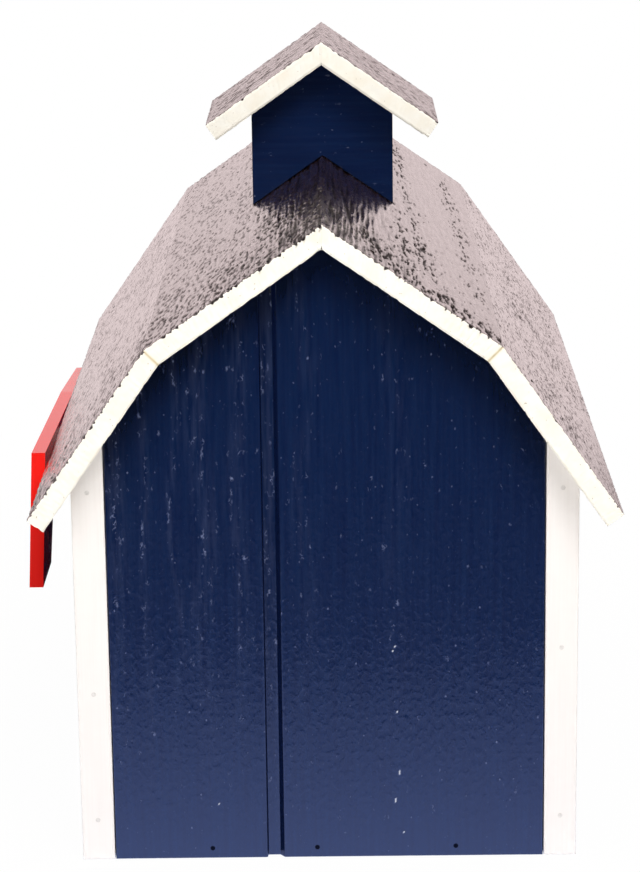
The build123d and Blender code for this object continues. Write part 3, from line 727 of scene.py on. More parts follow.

# %% [markdown]
# The siding is navy enamel brushed over embossed hardboard: a deep blue with a gloss. Its pale flecks are
# painted glints in a grey-blue, where raised bits of the skin would catch the light. They come in three
# shapes: a thin haze along the grain, short curls, and single specks. Curls are contours of a noise, cut
# into pieces by a second one. A value on the vertices says where the glints gather and where the paint is
# chipped. The table holds the lengths and widths of all the enamel's patterns in millimetres.

# %% Flecks of the navy enamel
NAVY_NOISE = {
    "haze": {"Length": 24.0, "Width": 2.6, "Shift": 3.0},
    "curls": {"Length": 3.2, "Width": 2.2, "Shift": 5.0, "Detail": 1.0},
    "pieces": {"Length": 7.0, "Width": 4.0, "Shift": 15.0},
    "specks": {"Length": 2.6, "Width": 2.0, "Shift": 21.0, "Detail": 0.0},
    "streaks": {"Length": 80.0, "Width": 3.0, "Detail": 3.0},
    "fine": {"Length": 20.0, "Width": 1.1, "Shift": 1.0, "Detail": 3.0},
    "ripple": {"Length": 4.5, "Width": 3.0, "Shift": 31.0},
}
HAZE_MOST = 0.075
CURL_MOST = 0.6
CURL_WIDTH = 0.1
SPECK_MOST = 0.4
GLINT_LIFT = 0.13

navy, tree = new_finish("navy_enamel_brushed_on_siding")
grain = add_node(tree, "ShaderNodeAttribute", attribute_name="grain").outputs["Vector"]
glints_and_marks = add_node(tree, "ShaderNodeAttribute", attribute_name="glints_and_marks").outputs["Fac"]
noise = {}
for title, sizes in NAVY_NOISE.items():
    noise[title] = add_node(tree, "ShaderNodeGroup", {"Grain": grain, **sizes}, node_tree=grain_noise)
haze = add_node(tree, "ShaderNodeMapRange", {
    "Value": noise["haze"], "From Min": 0.35, "From Max": 0.75, "To Min": 0.0, "To Max": HAZE_MOST,
})
curls = add_node(tree, "ShaderNodeMath", {0: noise["curls"], 1: 0.5}, operation="SUBTRACT")
curls = add_node(tree, "ShaderNodeMath", {0: curls}, operation="ABSOLUTE")
curls = add_node(tree, "ShaderNodeMapRange", {
    "Value": curls, "From Min": 0.0, "From Max": CURL_WIDTH, "To Min": CURL_MOST, "To Max": 0.0,
}, interpolation_type="SMOOTHSTEP")
pieces = add_node(tree, "ShaderNodeMath", {
    0: glints_and_marks, 1: GLINT_LIFT, 2: noise["pieces"],
}, operation="MULTIPLY_ADD")
pieces = add_node(tree, "ShaderNodeMapRange", {
    "Value": pieces, "From Min": 0.66, "From Max": 0.86,
}, interpolation_type="SMOOTHSTEP")
specks = add_node(tree, "ShaderNodeMapRange", {
    "Value": noise["specks"], "From Min": 0.8, "From Max": 0.92, "To Min": 0.0, "To Max": SPECK_MOST,
})
# The painted glints: curls in pieces and specks, and a haze that follows the value on the vertices.
painted_glints = add_node(tree, "ShaderNodeMath", {0: curls, 1: pieces, 2: specks}, operation="MULTIPLY_ADD")
painted_glints = add_node(tree, "ShaderNodeMath", {0: haze, 1: glints_and_marks, 2: painted_glints}, operation="MULTIPLY_ADD")
print(len(noise), "noises in", navy.name)

# %% [markdown]
# Streaks of tone run with the grain. Close under the eave the paint is darkened: a painted shade of the
# eave. The leaning walls of the grooves are painted nearly black, a painted shade in the recess: the depth
# below the face, third of the grain values, tells where they are. Where the value on the vertices is
# extreme the paint is chipped off down to the white primer. Each of these is laid over the one before. A
# bump gives the glints their height and ripples to the whole skin. The ripples are the emboss of the
# hardboard under the paint, and break up what the gloss mirrors.

# %% Navy enamel
# A Mix node has inputs for several kinds of data. These are its factor and its two colours.
MIX, UNDER, OVER = 0, 6, 7
NAVY_TONES = "#09193d", "#0c2045"
WALL_MIDDLE = 0.5 * GROOVE_DEPTH
WALL_HALF = 0.44 * GROOVE_DEPTH
FINE_SHARE = 0.25
RIPPLE_SHARE = 0.33

# Painted shade under the eave, read from the rear panel's vertices.
painted_eave_shade = add_node(tree, "ShaderNodeAttribute", attribute_name="painted_eave_shade").outputs["Fac"]
depth = add_node(tree, "ShaderNodeSeparateXYZ", {0: grain}).outputs[2]
# The leaning walls of the grooves, where the colour is painted shade and the mirror is weaker.
wall = add_node(tree, "ShaderNodeMath", {0: depth, 1: WALL_MIDDLE, 2: WALL_HALF}, operation="COMPARE")
chip = add_node(tree, "ShaderNodeMapRange", {"Value": glints_and_marks, "From Min": 2.5, "From Max": 4.0})
tone = add_node(tree, "ShaderNodeMapRange", {"Value": noise["streaks"], **MOST_NOISE})
tone = add_node(tree, "ShaderNodeMix", {
    MIX: tone, UNDER: colour(NAVY_TONES[0]), OVER: colour(NAVY_TONES[1]),
}, data_type="RGBA")
# Laid over the tone in turn: painted shade under the eave, painted glints, painted shade on the groove
# walls, and real chips down to the primer.
for title, share, code in (
    ("painted eave shade", painted_eave_shade, "#030713"),
    ("painted glint colour", painted_glints, "#7d88ae"),
    ("painted groove shade", wall, "#091433"),
    ("primer", chip, "#c3c7d0"),
):
    tone = add_node(tree, "ShaderNodeMix", {
        MIX: share, UNDER: tone, OVER: colour(code),
    }, data_type="RGBA", label=title)
mirror = add_node(tree, "ShaderNodeMapRange", {"Value": wall, "To Min": 0.5, "To Max": 0.2})
gloss = add_node(tree, "ShaderNodeMapRange", {
    "Value": noise["streaks"], "From Min": 0.2, "From Max": 0.8, "To Min": 0.12, "To Max": 0.18,
})
ripple = add_node(tree, "ShaderNodeMapRange", {
    "Value": noise["ripple"], "From Min": 0.4, "From Max": 0.75,
}, interpolation_type="SMOOTHSTEP")
skin = painted_glints
for pattern, share in ((noise["fine"], FINE_SHARE), (ripple, RIPPLE_SHARE)):
    skin = add_node(tree, "ShaderNodeMath", {0: pattern, 1: share, 2: skin}, operation="MULTIPLY_ADD")
dents = add_node(tree, "ShaderNodeBump", {"Height": skin, "Strength": 1.0, "Distance": 0.35 * MM})
paint = add_node(tree, "ShaderNodeBsdfPrincipled", {
    "Base Color": tone, "Roughness": gloss, "Specular IOR Level": mirror, "Normal": dents, "IOR": 1.5,
})
add_node(tree, "ShaderNodeOutputMaterial", {0: paint})
print(len(tree.nodes), "nodes in", navy.name)

# %% [markdown]
# The roof boards have a thick dark brown enamel with a gloss. Seen along the slope it mirrors the bright
# room behind, so that it looks mauve-grey, and only the pores and the shade of the cupola show how dark it
# is. A coat over the paint gives the stronger mirror of several brushed layers. In a pore there is neither
# coat nor mirror, so the relief stored on the board turns both down there, and the pore's colour is
# darkened as a painted shade.

# %% Roof enamel
ROOF_NOISE = {
    "tone": {"Length": 60.0, "Width": 6.0},
    "gloss": {"Length": 14.0, "Width": 3.0, "Shift": 4.0},
    "skin": {"Length": 5.0, "Width": 1.1, "Shift": 2.0, "Detail": 3.0},
}

roof, tree = new_finish("brown_gloss_enamel_on_rough_board")
grain = add_node(tree, "ShaderNodeAttribute", attribute_name="grain").outputs["Vector"]
deep = add_node(tree, "ShaderNodeAttribute", attribute_name="relief").outputs["Fac"]
hollow = add_node(tree, "ShaderNodeMapRange", {"Value": deep, "From Min": 0.38, "From Max": 0.78})
noise = {}
for title, sizes in ROOF_NOISE.items():
    noise[title] = add_node(tree, "ShaderNodeGroup", {"Grain": grain, **sizes}, node_tree=grain_noise)
tone = add_node(tree, "ShaderNodeMix", {
    MIX: noise["tone"], UNDER: colour("#2b1a16"), OVER: colour("#3b2721"),
}, data_type="RGBA")
# Pores are painted darker: a painted shade in the recesses.
tone = add_node(tree, "ShaderNodeMix", {
    MIX: hollow, UNDER: tone, OVER: colour("#170e0c"),
}, data_type="RGBA")
gloss = add_node(tree, "ShaderNodeMapRange", {
    "Value": noise["gloss"], **MOST_NOISE, "To Min": 0.2, "To Max": 0.34,
})
mirror = add_node(tree, "ShaderNodeMapRange", {"Value": hollow, "To Min": 0.5, "To Max": 0.08})
coat = add_node(tree, "ShaderNodeMapRange", {"Value": hollow, "To Min": 0.9, "To Max": 0.0})
dents = add_node(tree, "ShaderNodeBump", {"Height": noise["skin"], "Strength": 0.4, "Distance": 0.3 * MM})
paint = add_node(tree, "ShaderNodeBsdfPrincipled", {
    "Base Color": tone, "Roughness": gloss, "Specular IOR Level": mirror, "Normal": dents, "IOR": 1.5,
    "Coat Weight": coat, "Coat Roughness": 0.16, "Coat Normal": dents,
})
add_node(tree, "ShaderNodeOutputMaterial", {0: paint})
print(len(tree.nodes), "nodes in", roof.name)

# %% [markdown]
# White exterior paint covers the corner strips and the door battens. On planed strips it keeps faint brush
# marks along the grain. They change its tone, its gloss and its height together, as the growth lines of
# bare wood do, so one function ends all of these finishes.

# %% White paint on planed strips
BRUSH_NOISE = {"Length": 60.0, "Width": 1.4, "Detail": 3.0}


def matt_surface(tree, tone, pattern, rough, dent, depth):
    """End of a matt finish whose gloss and dents follow one pattern. The depth is in millimetres."""
    gloss = add_node(tree, "ShaderNodeMapRange", {
        "Value": pattern, **MOST_NOISE, "To Min": rough[0], "To Max": rough[1],
    })
    dents = add_node(tree, "ShaderNodeBump", {"Height": pattern, "Strength": dent, "Distance": depth * MM})
    surface = add_node(tree, "ShaderNodeBsdfPrincipled", {
        "Base Color": tone, "Roughness": gloss, "Normal": dents, "IOR": 1.5,
    })
    add_node(tree, "ShaderNodeOutputMaterial", {0: surface})


white_trim, tree = new_finish("white_exterior_paint_on_planed_strip")
grain = add_node(tree, "ShaderNodeAttribute", attribute_name="grain").outputs["Vector"]
brush = add_node(tree, "ShaderNodeGroup", {"Grain": grain, **BRUSH_NOISE}, node_tree=grain_noise)
tone = add_node(tree, "ShaderNodeMix", {
    MIX: brush, UNDER: colour("#f3efea"), OVER: colour("#fbf8f4"),
}, data_type="RGBA")
matt_surface(tree, tone, brush, rough=(0.42, 0.55), dent=0.3, depth=0.15)
print(white_trim.name)

# %% [markdown]
# The sawn ends and undersides of the roof boards have the same paint. Ends drink more of it and look a
# little warmer, with small stains and specks. Where two ends meet at a mitre, resin has drawn a thin tan
# line.

# %% White paint on sawn ends
STAIN_SIZE = 9.0
SPECK_SIZE = 1.6

white_end, tree = new_finish("white_exterior_paint_on_sawn_end")
place = add_node(tree, "ShaderNodeTexCoord").outputs["Object"]
stain = add_node(tree, "ShaderNodeTexNoise", {
    "Vector": place, "Scale": 1 / (STAIN_SIZE * MM), "Detail": 4.0,
})
speck = add_node(tree, "ShaderNodeTexNoise", {
    "Vector": place, "Scale": 1 / (SPECK_SIZE * MM), "Detail": 1.0,
})
speck = add_node(tree, "ShaderNodeMapRange", {"Value": speck, "From Min": 0.74, "From Max": 0.8})
seam = add_node(tree, "ShaderNodeAttribute", attribute_name="glints_and_marks").outputs["Fac"]
seam = add_node(tree, "ShaderNodeMapRange", {"Value": seam, "From Min": 0.2, "From Max": 1.0})
tone = add_node(tree, "ShaderNodeMapRange", {"Value": stain, "From Min": 0.35, "From Max": 0.7})
tone = add_node(tree, "ShaderNodeMix", {
    MIX: tone, UNDER: colour("#fffdf2"), OVER: colour("#fbf6e6"),
}, data_type="RGBA")
for title, share, code in (("speck", speck, "#c9bfae"), ("resin", seam, "#d8c795")):
    tone = add_node(tree, "ShaderNodeMix", {
        MIX: share, UNDER: tone, OVER: colour(code),
    }, data_type="RGBA", label=title)
matt_surface(tree, tone, stain, rough=(0.45, 0.6), dent=0.4, depth=0.4)
print(white_end.name)

# %% [markdown]
# The flag is a plywood cut-out in red enamel, sprayed smooth: an even satin red with a slight orange peel.

# %% Red enamel
CLOUD_SIZE = 40.0
PEEL_SIZE = 2.0

red, tree = new_finish("red_satin_enamel_on_plywood")
place = add_node(tree, "ShaderNodeTexCoord").outputs["Object"]
cloud = add_node(tree, "ShaderNodeTexNoise", {"Vector": place, "Scale": 1 / (CLOUD_SIZE * MM)})
tone = add_node(tree, "ShaderNodeMix", {
    MIX: cloud, UNDER: colour("#ea150c"), OVER: colour("#f2190f"),
}, data_type="RGBA")
gloss = add_node(tree, "ShaderNodeMapRange", {
    "Value": cloud, **MOST_NOISE, "To Min": 0.15, "To Max": 0.19,
})
peel = add_node(tree, "ShaderNodeTexNoise", {"Vector": place, "Scale": 1 / (PEEL_SIZE * MM)})
dents = add_node(tree, "ShaderNodeBump", {"Height": peel, "Strength": 0.15, "Distance": 0.2 * MM})
paint = add_node(tree, "ShaderNodeBsdfPrincipled", {
    "Base Color": tone, "Roughness": gloss, "Normal": dents, "IOR": 1.5, "Specular IOR Level": 0.32,
})
add_node(tree, "ShaderNodeOutputMaterial", {0: paint})
print(red.name)

# %% [markdown]
# Inside, the box is bare pine: pale honey with darker growth lines along the board, and matt. Boards that
# were made above carry their own grain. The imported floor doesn't, so its grain is taken from its place,
# turned so that it runs lengthwise.

# %% Bare pine
PINE_NOISE = {"Length": 160.0, "Width": 2.6, "Detail": 4.0}

pine_board, tree = new_finish("bare_pine_planed_board")
pine_floor, floor_tree = new_finish("bare_pine_planed_floor")
own_grain = add_node(tree, "ShaderNodeAttribute", attribute_name="grain").outputs["Vector"]
place = add_node(floor_tree, "ShaderNodeTexCoord").outputs["Object"]
place = add_node(floor_tree, "ShaderNodeSeparateXYZ", {0: place}).outputs
turned = add_node(floor_tree, "ShaderNodeCombineXYZ", {0: place[1], 1: place[0], 2: place[2]})
turned = add_node(floor_tree, "ShaderNodeVectorMath", {
    0: turned, "Scale": 1 / MM,
}, operation="SCALE")
for tree, grain in ((tree, own_grain), (floor_tree, turned)):
    lines = add_node(tree, "ShaderNodeGroup", {"Grain": grain, **PINE_NOISE}, node_tree=grain_noise)
    tone = add_node(tree, "ShaderNodeMapRange", {"Value": lines, **MOST_NOISE})
    tone = add_node(tree, "ShaderNodeMix", {
        MIX: tone, UNDER: colour("#dcbf92"), OVER: colour("#b98f5e"),
    }, data_type="RGBA")
    matt_surface(tree, tone, lines, rough=(0.5, 0.68), dent=0.3, depth=0.2)
print(pine_board.name, pine_floor.name)

# %% [markdown]
# ## Roof
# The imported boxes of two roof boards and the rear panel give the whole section: the ridge, the bend and
# the eave. The bend is mitred, so the lower pitch follows from the upper one and the angle of the mitre.

# %% Roof section
def size_of(node):
    """Lowest and highest corner of a CAD node, in millimetres."""
    low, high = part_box(node)
    return np.array(low) / MM, np.array(high) / MM


upper_low, upper_high = size_of("roof_upper_right")
lower_low, lower_high = size_of("roof_lower_right")
panel_low, panel_high = size_of("back_panel")
knee_under = np.array([lower_low[0], upper_low[2]])
knee_top = np.array([upper_high[0], lower_high[2]])
ridge_under = np.array([0.0, panel_high[2]])
ridge_top = np.array([0.0, upper_high[2]])
upper = atan2(ridge_under[1] - knee_under[1], knee_under[0])
lower = 2 * atan2(*(knee_top - knee_under)) - upper
roof_thickness = (ridge_top[1] - ridge_under[1]) * cos(upper)
roof_limits = upper_low[1], upper_high[1]
lower_length = (lower_high[0] - knee_top[0]) / cos(lower)
print("pitches", round(degrees(upper), 1), round(degrees(lower), 1))
print("thickness", round(roof_thickness, 2), "mm")

# %% [markdown]
# A roof board is a plank laid on a slope. Its upper edge is a mitre, and so is its lower one unless it is
# an eave.

# %% Sloping board
def slope_axes(side, pitch):
    """Across, along and outward directions of a board that slopes down to one side."""
    return (side * cos(pitch), 0, -sin(pitch)), (0, 1, 0), (side * sin(pitch), 0, cos(pitch))


def down_slope(point, start, pitch):
    """How far down the slope a section point lies from a start."""
    return (point[0] - start[0]) * cos(pitch) + (start[1] - point[1]) * sin(pitch)


def sloping_board(name, side, start, pitch, length, back, limits, eave, **options):
    """Board of the roof or the cupola, from its upper arris down."""
    origin = (side * start[0], 0.0, start[1])
    return plank(name, origin, slope_axes(side, pitch), (0.0, length), level_ends(*limits), roof_thickness,
                 back_across=back, ease=0.3, holds=(1.0, 0.5, 0.5), mitres=(True, not eave), chewed=True,
                 **options)


print("upper boards are", round(down_slope(knee_top, ridge_top, upper), 1), "mm wide")

# %% [markdown]
# The four boards are not alike. On the left the paint is finely pebbled, and short pores crowd towards the
# rear gable. On the right pores follow lines of open grain, where the saw cut through growth rings. Next to
# the ridge both upper boards are deeply ribbed. Rules give these changes as values on the vertices, and one
# more rule marks the mitre between the upper and the lower boards.

# %% Rules for the roof's relief
RIB_LEAST = 0.1
RIB_REACH = 52.0
PORE_REACH = 120.0
OPEN_WIDTH = 8.0
DRAWN_OUT = 4
SEAM_WIDTH = 0.9


def fading(least, reach):
    """Rule for a relief that is full at the rear gable and fades along the roof."""
    return lambda points: least + (1 - least) * np.exp(-(points[:, 1] - roof_limits[0]) / reach)


def ridge_ribs(points):
    """Ribs that are deep beside the ridge and shallow lower down, and fade along the roof."""
    beside = np.exp(-(points[:, 0] / RIB_REACH) ** 2)
    return RIB_LEAST + (1 - RIB_LEAST) * beside * fading(least=0.4, reach=220)(points)


def open_grain(lines, start, pitch, rise, least):
    """Rule for a relief that rises along lines on a right-hand board, each given by places along the roof
    and down the slope. Lengths along the roof count for a quarter, as grain is drawn out that way."""
    def rule(points):
        spots = np.stack([points[:, 1] / DRAWN_OUT, (points[:, 0] - start[0]) / cos(pitch)], axis=-1)
        nearest = np.full(len(spots), np.inf)
        for line in lines:
            corners = np.array(line, float) / (DRAWN_OUT, 1)
            for low, high in zip(corners, corners[1:]):
                way = high - low
                share = np.clip((spots - low) @ way / (way @ way), 0, 1)
                nearest = np.minimum(nearest, np.linalg.norm(spots - low - share[:, None] * way, axis=1))
        return fading(least, PORE_REACH)(points) + rise * np.exp(-(nearest / OPEN_WIDTH) ** 2)
    return rule


def knee_seam(points):
    """Thin line on both sides of the mitre between the upper and the lower boards."""
    way = (knee_top - knee_under) / np.linalg.norm(knee_top - knee_under)
    offset = (np.abs(points[:, 0]) - knee_under[0]) * way[1] - (points[:, 2] - knee_under[1]) * way[0]
    return np.exp(-np.abs(offset) / SEAM_WIDTH)


across_roof = np.array([[reach, roof_limits[0], 0.0] for reach in (0.0, knee_top[0])])
print("ribs at the ridge and at the bend:", ridge_ribs(across_roof).round(2))

# %% [markdown]
# Each board has its own sizes of relief, in millimetres, and its own seed. The lines of open grain on the
# right are given by places along the roof and down the slope. The grid is finer across the grain than
# along it, because that is where the relief changes fastest.

# %% Roof boards
SIDES = {"left": -1, "right": 1}
ROOF_STEP = (0.62, 1.6)
LEFT_ROOF = dict(rib_depth=1.2, rib_spacing=2.5, rib_length=50, pebble_depth=0.24, pebble_size=2.0,
                 pore_depth=0.9, pore_share=0.44, pore_width=2.5, pore_length=7.5, arris_depth=0.8)
RIGHT_ROOF = dict(rib_depth=1.2, rib_spacing=2.5, rib_length=40, pebble_depth=0.14, pebble_size=1.8,
                  pore_depth=0.8, pore_share=0.32, pore_width=2.0, pore_length=10, arris_depth=0.6)
roof_looks = {
    "roof_upper_left": dict(LEFT_ROOF, seed=300),
    "roof_lower_left": dict(LEFT_ROOF, rib_depth=0.12, seed=1700),
    "roof_upper_right": dict(RIGHT_ROOF, seed=2900),
    "roof_lower_right": dict(RIGHT_ROOF, rib_depth=0.15, pore_share=0.37, pore_width=1.6, pore_length=8,
                             seed=4100),
}
UPPER_LINES = (
    ((230, 62), (-29, 70), (-176, 76)), ((200, 104), (-23, 110), (-145, 113)), ((-40, 55), (-215, 60)),
    ((-215, 30), (-250, 68)), ((-243, 84), (-249, 101), (-245, 124)),
)
LOWER_LINES = (
    ((-15, 79), (-49, 114)), ((-129, 48), (-184, 59), (-224, 71)), ((-195, 49), (-227, 74)),
    ((-36, 41), (5, 71)),
)

roof_rough = {
    "roof_upper_left": fading(least=0.5, reach=PORE_REACH),
    "roof_lower_left": fading(least=0.4, reach=70),
    "roof_upper_right": open_grain(UPPER_LINES, ridge_top, upper, rise=1.1, least=0.35),
    "roof_lower_right": open_grain(LOWER_LINES, knee_top, lower, rise=0.35, least=0.9),
}
upper_length = down_slope(knee_top, ridge_top, upper)
upper_back = down_slope(ridge_under, ridge_top, upper), down_slope(knee_under, ridge_top, upper)
lower_back = down_slope(knee_under, knee_top, lower), lower_length
for word, side in SIDES.items():
    for node, start, pitch, length, back, eave in (
        (f"roof_upper_{word}", ridge_top, upper, upper_length, upper_back, False),
        (f"roof_lower_{word}", knee_top, lower, lower_length, lower_back, True),
    ):
        marks = {"rough": roof_rough[node], "glints_and_marks": knee_seam}
        if not eave:
            marks["ribbed"] = ridge_ribs
        board = sloping_board(f"{node}_board", side, start, pitch, length, back, roof_limits, eave,
                              step=ROOF_STEP, marks=marks)
        embossed(board, node, "roof_paint", (roof, white_end, white_end), **roof_looks[node])

# %% [markdown]
# The cupola has two short boards of the same stock, with the same mitre at its ridge. Their grain runs down
# the slope.

# %% Cupola roof
CUPOLA_STEP = (0.62, 1.0)

cupola_low, cupola_high = size_of("cupola_roof_right")
block_low, block_high = size_of("cupola_block")
cupola_top = np.array([0.0, cupola_high[2]])
cupola_point = np.array([0.0, block_high[2]])
cupola_pitch = acos(roof_thickness / (cupola_high[2] - block_high[2]))
cupola_length = cupola_high[0] / cos(cupola_pitch)
cupola_back = down_slope(cupola_point, cupola_top, cupola_pitch), cupola_length
for word, side in SIDES.items():
    node = f"cupola_roof_{word}"
    board = sloping_board(f"{node}_board", side, cupola_top, cupola_pitch, cupola_length, cupola_back,
                          (cupola_low[1], cupola_high[1]), True, step=CUPOLA_STEP, cross_grain=True)
    look = dict(LEFT_ROOF, pore_share=0.34, rib_depth=0.12, seed=5300 + side)
    embossed(board, node, "roof_paint", (roof, white_end, white_end), **look)

# %% [markdown]
# ## Siding
# The rear panel is one sheet with a groove left of the middle. Its paint isn't even: painted glints gather
# in the groove and in wavy columns left of it and fade towards the foot, a few chips go down to the primer,
# and close under the roof a painted shade darkens it. Two rules give this as values on the vertices.

# %% Rules for the rear panel's paint
GROOVE_OFFSET = 32.3
GROOVE_FLOOR = 3.5
# Strength of the painted glints in the groove and elsewhere, and the value that marks a chip.
GROOVE_GLINTS = 0.9
LEAST_GLINTS = 0.12
CHIP_WEAR = 5.0
SWAY_LENGTH = 21.0
FOOT_HEIGHTS = (20, 190)
# Place, width, sway and strength of each column of painted glints
FLECK_COLUMNS = (
    (-121, 6, 1, 1.0), (-104, 3, 1, 0.9), (-87, 2.6, 3, 1.0), (-71, 7, 3, 0.9), (-50, 6, 2, 0.8),
    (-12, 7, 4, 0.5), (40, 9, 3, 0.4),
)
# Places of the chips, across and up
CHIPS = (
    (39.7, 131), (38.7, 128.5), (40.6, 91), (41.9, 54), (41.9, 52.4), (39.9, 36.5), (39.9, 34.9),
    (43.9, 15.4), (-65.3, 35),
)
# Painted shade under the eave: how dark it is at most, and how far down it reaches in millimetres.
EAVE_SHADE_MOST = 0.75
EAVE_SHADE_REACH = 30.0


def roof_line(across):
    """Height of the roof's underside over a distance from the middle."""
    reach = np.abs(across)
    high = ridge_under[1] - reach * tan(upper)
    return np.where(reach < knee_under[0], high, knee_under[1] - (reach - knee_under[0]) * tan(lower))


def rear_glints_and_chips(points):
    """Most painted glints on the floor of the groove, fewer in wavy columns left of it, and hardly any
    between. Lower down they fade, and so do the bumps they give the skin. A few single points get chips."""
    from_groove = points[:, 0] + GROOVE_OFFSET
    glints_and_marks = np.full(len(points), LEAST_GLINTS)
    for place, width, sway, most in FLECK_COLUMNS:
        offset = points[:, 0] - place - sway * np.sin(points[:, 2] / SWAY_LENGTH + place)
        glints_and_marks = np.maximum(glints_and_marks, most * np.exp(-(offset / width) ** 2))
    glints_and_marks = np.where(np.abs(from_groove) < GROOVE_FLOOR, GROOVE_GLINTS, glints_and_marks)
    glints_and_marks = glints_and_marks * np.interp(points[:, 2], FOOT_HEIGHTS, (0, 1))
    for across, height in CHIPS:
        glints_and_marks[np.argmin(np.hypot(points[:, 0] - across, points[:, 2] - height))] = CHIP_WEAR
    return glints_and_marks


def rear_eave_shade(points):
    """Painted shade of the eave: deep paint close under the roof, fading downwards."""
    below = np.maximum(roof_line(points[:, 0]) - points[:, 2], 0)
    return EAVE_SHADE_MOST * np.exp(-below / EAVE_SHADE_REACH)


print(len(FLECK_COLUMNS), "columns of flecks and", len(CHIPS), "chips")

# %% [markdown]
# The rear panel and the front gable are cut to the roof line. The rows of their grids end on that line, so
# they need no cutting. The front isn't in the photograph, so its paint is even.

# %% Rear panel and front gable
REAR, FRONT = -1, 1
SIDING = dict(rib_depth=0.07, rib_spacing=1.5, rib_length=30, pebble_depth=0.05, pore_depth=0.15,
              pore_share=0.3)
SIDING_FINISHES = (navy, navy, pine_board)


def upright(face):
    """Across, along and outward directions of an upright board that faces the rear or the front."""
    return (1, 0, 0), (0, 0, 1), (0, face, 0)


def under_roof(low):
    """Rule for a panel from a level foot up to the roof."""
    return lambda across: (np.full_like(across, low), roof_line(across))


panel_reach = panel_low[0], panel_high[0]
panel_kinks = (-knee_under[0], 0.0, knee_under[0])
siding_thickness = panel_high[1] - panel_low[1]
rear = plank("rear_siding_panel", (0, panel_low[1], 0), upright(REAR), panel_reach,
             under_roof(panel_low[2]), siding_thickness, grooves=(-GROOVE_OFFSET,), kinks=panel_kinks,
             marks={"glints_and_marks": rear_glints_and_chips, "painted_eave_shade": rear_eave_shade})
embossed(rear, "back_panel", "navy_paint", SIDING_FINISHES, **SIDING, seed=500)
gable_low, gable_high = size_of("front_gable")
gable = plank("front_siding_gable", (0, gable_high[1], 0), upright(FRONT), panel_reach,
              under_roof(gable_low[2]), siding_thickness, grooves=(GROOVE_OFFSET,), kinks=panel_kinks)
embossed(gable, "front_gable", "navy_paint", SIDING_FINISHES, **SIDING, seed=700)

# %% [markdown]
# The door is a rectangle of the same sheet. The side walls are thicker, have two grooves each and are
# bevelled at the top to meet the roof, so their backs reach higher than their faces.

# %% Door panel and side walls
WALL_GROOVE = 101.6
COARSE_STEP = (1.6, 2.4)

door_low, door_high = size_of("door_panel")
door = plank("door_siding_panel", (0, door_high[1], 0), upright(FRONT), (door_low[0], door_high[0]),
             level_ends(door_low[2], door_high[2]), siding_thickness, grooves=(GROOVE_OFFSET,))
embossed(door, "door_panel", "navy_paint", SIDING_FINISHES, **SIDING, seed=900)
wall_low, wall_high = size_of("right_side_wall")
wall_thickness = wall_high[0] - wall_low[0]
wall_height = wall_high[2] - wall_thickness * tan(lower)
for word, side in SIDES.items():
    axes = (0, side, 0), (0, 0, 1), (side, 0, 0)
    wall = plank(f"{word}_siding_wall", (side * wall_high[0], 0, 0), axes, (wall_low[1], wall_high[1]),
                 level_ends(0.0, wall_height), wall_thickness, back_along=level_ends(0.0, wall_high[2]),
                 grooves=(-WALL_GROOVE, WALL_GROOVE), step=COARSE_STEP)
    embossed(wall, f"{word}_side_wall", "navy_paint", SIDING_FINISHES, **SIDING, seed=1300 + 90 * side)

# %% [markdown]
# The cupola block and the flag's spacer are short pieces of thick board. The block's foot is notched
# over the ridge and its top is a gable, so every column of its grid has the same height. Its grain runs
# level.

# %% Cupola block and flag spacer
def chevron(across):
    """Rule for the block between the ridge below and its own roof above."""
    reach = np.abs(across)
    return ridge_top[1] - reach * tan(upper), block_high[2] - reach * tan(cupola_pitch)


BLOCK = dict(rib_depth=0.03, rib_length=30, pebble_depth=0.03)
BLOCK_STEP = (1.0, 1.0)
block = plank("cupola_siding_block", (0, block_low[1], 0), upright(REAR), (block_low[0], block_high[0]),
              chevron, block_high[1] - block_low[1], kinks=(0.0,), step=BLOCK_STEP, holds=(1, 0.4, 1),
              both=True, cross_grain=True)
embossed(block, "cupola_block", "navy_paint", (navy, navy, navy), **BLOCK, seed=1900)
spacer_low, spacer_high = size_of("flag_spacer")
spacer = plank("flag_spacer_block", (spacer_low[0], 0, 0), ((0, -1, 0), (0, 0, 1), (-1, 0, 0)),
               (-spacer_high[1], -spacer_low[1]), level_ends(spacer_low[2], spacer_high[2]),
               spacer_high[0] - spacer_low[0], holds=(1, 0.4, 0))
embossed(spacer, "flag_spacer", "navy_paint", (navy, navy, navy), **BLOCK, seed=2300)

# %% [markdown]
# ## White strips
# The corners of the box, the frame of the doorway and the battens of the door are planed strips under
# white paint. Planed wood is nearly flat, so their relief is only a breath of grain and a softened arris.

# %% Corner strips
PLANED = dict(rib_depth=0.03, rib_spacing=2.4, rib_length=60, pebble_depth=0.02)
strip_low, strip_high = size_of("front_right_corner_strip")


def bevelled_top(side):
    """Rule for a corner strip whose top follows the lower roof."""
    def ends(across):
        return np.zeros_like(across), wall_height + (strip_high[0] - side * across) * tan(lower)
    return ends


def painted_strip(strip, node, seed):
    """Emboss a planed strip and paint it white all round."""
    embossed(strip, node, "white_paint", (white_trim,) * 3, **PLANED, seed=seed)


for end, face in {"back": REAR, "front": FRONT}.items():
    for word, side in SIDES.items():
        node = f"{end}_{word}_corner_strip"
        reach = tuple(sorted((side * strip_low[0], side * strip_high[0])))
        strip = plank(f"{node}_board", (0, face * strip_high[1], 0), upright(face), reach,
                      bevelled_top(side), siding_thickness, step=COARSE_STEP)
        painted_strip(strip, node, seed=7100 + 300 * face + 90 * side)

# %% [markdown]
# The strips of the front are plain rectangles, so their packed boxes say all there is to know.

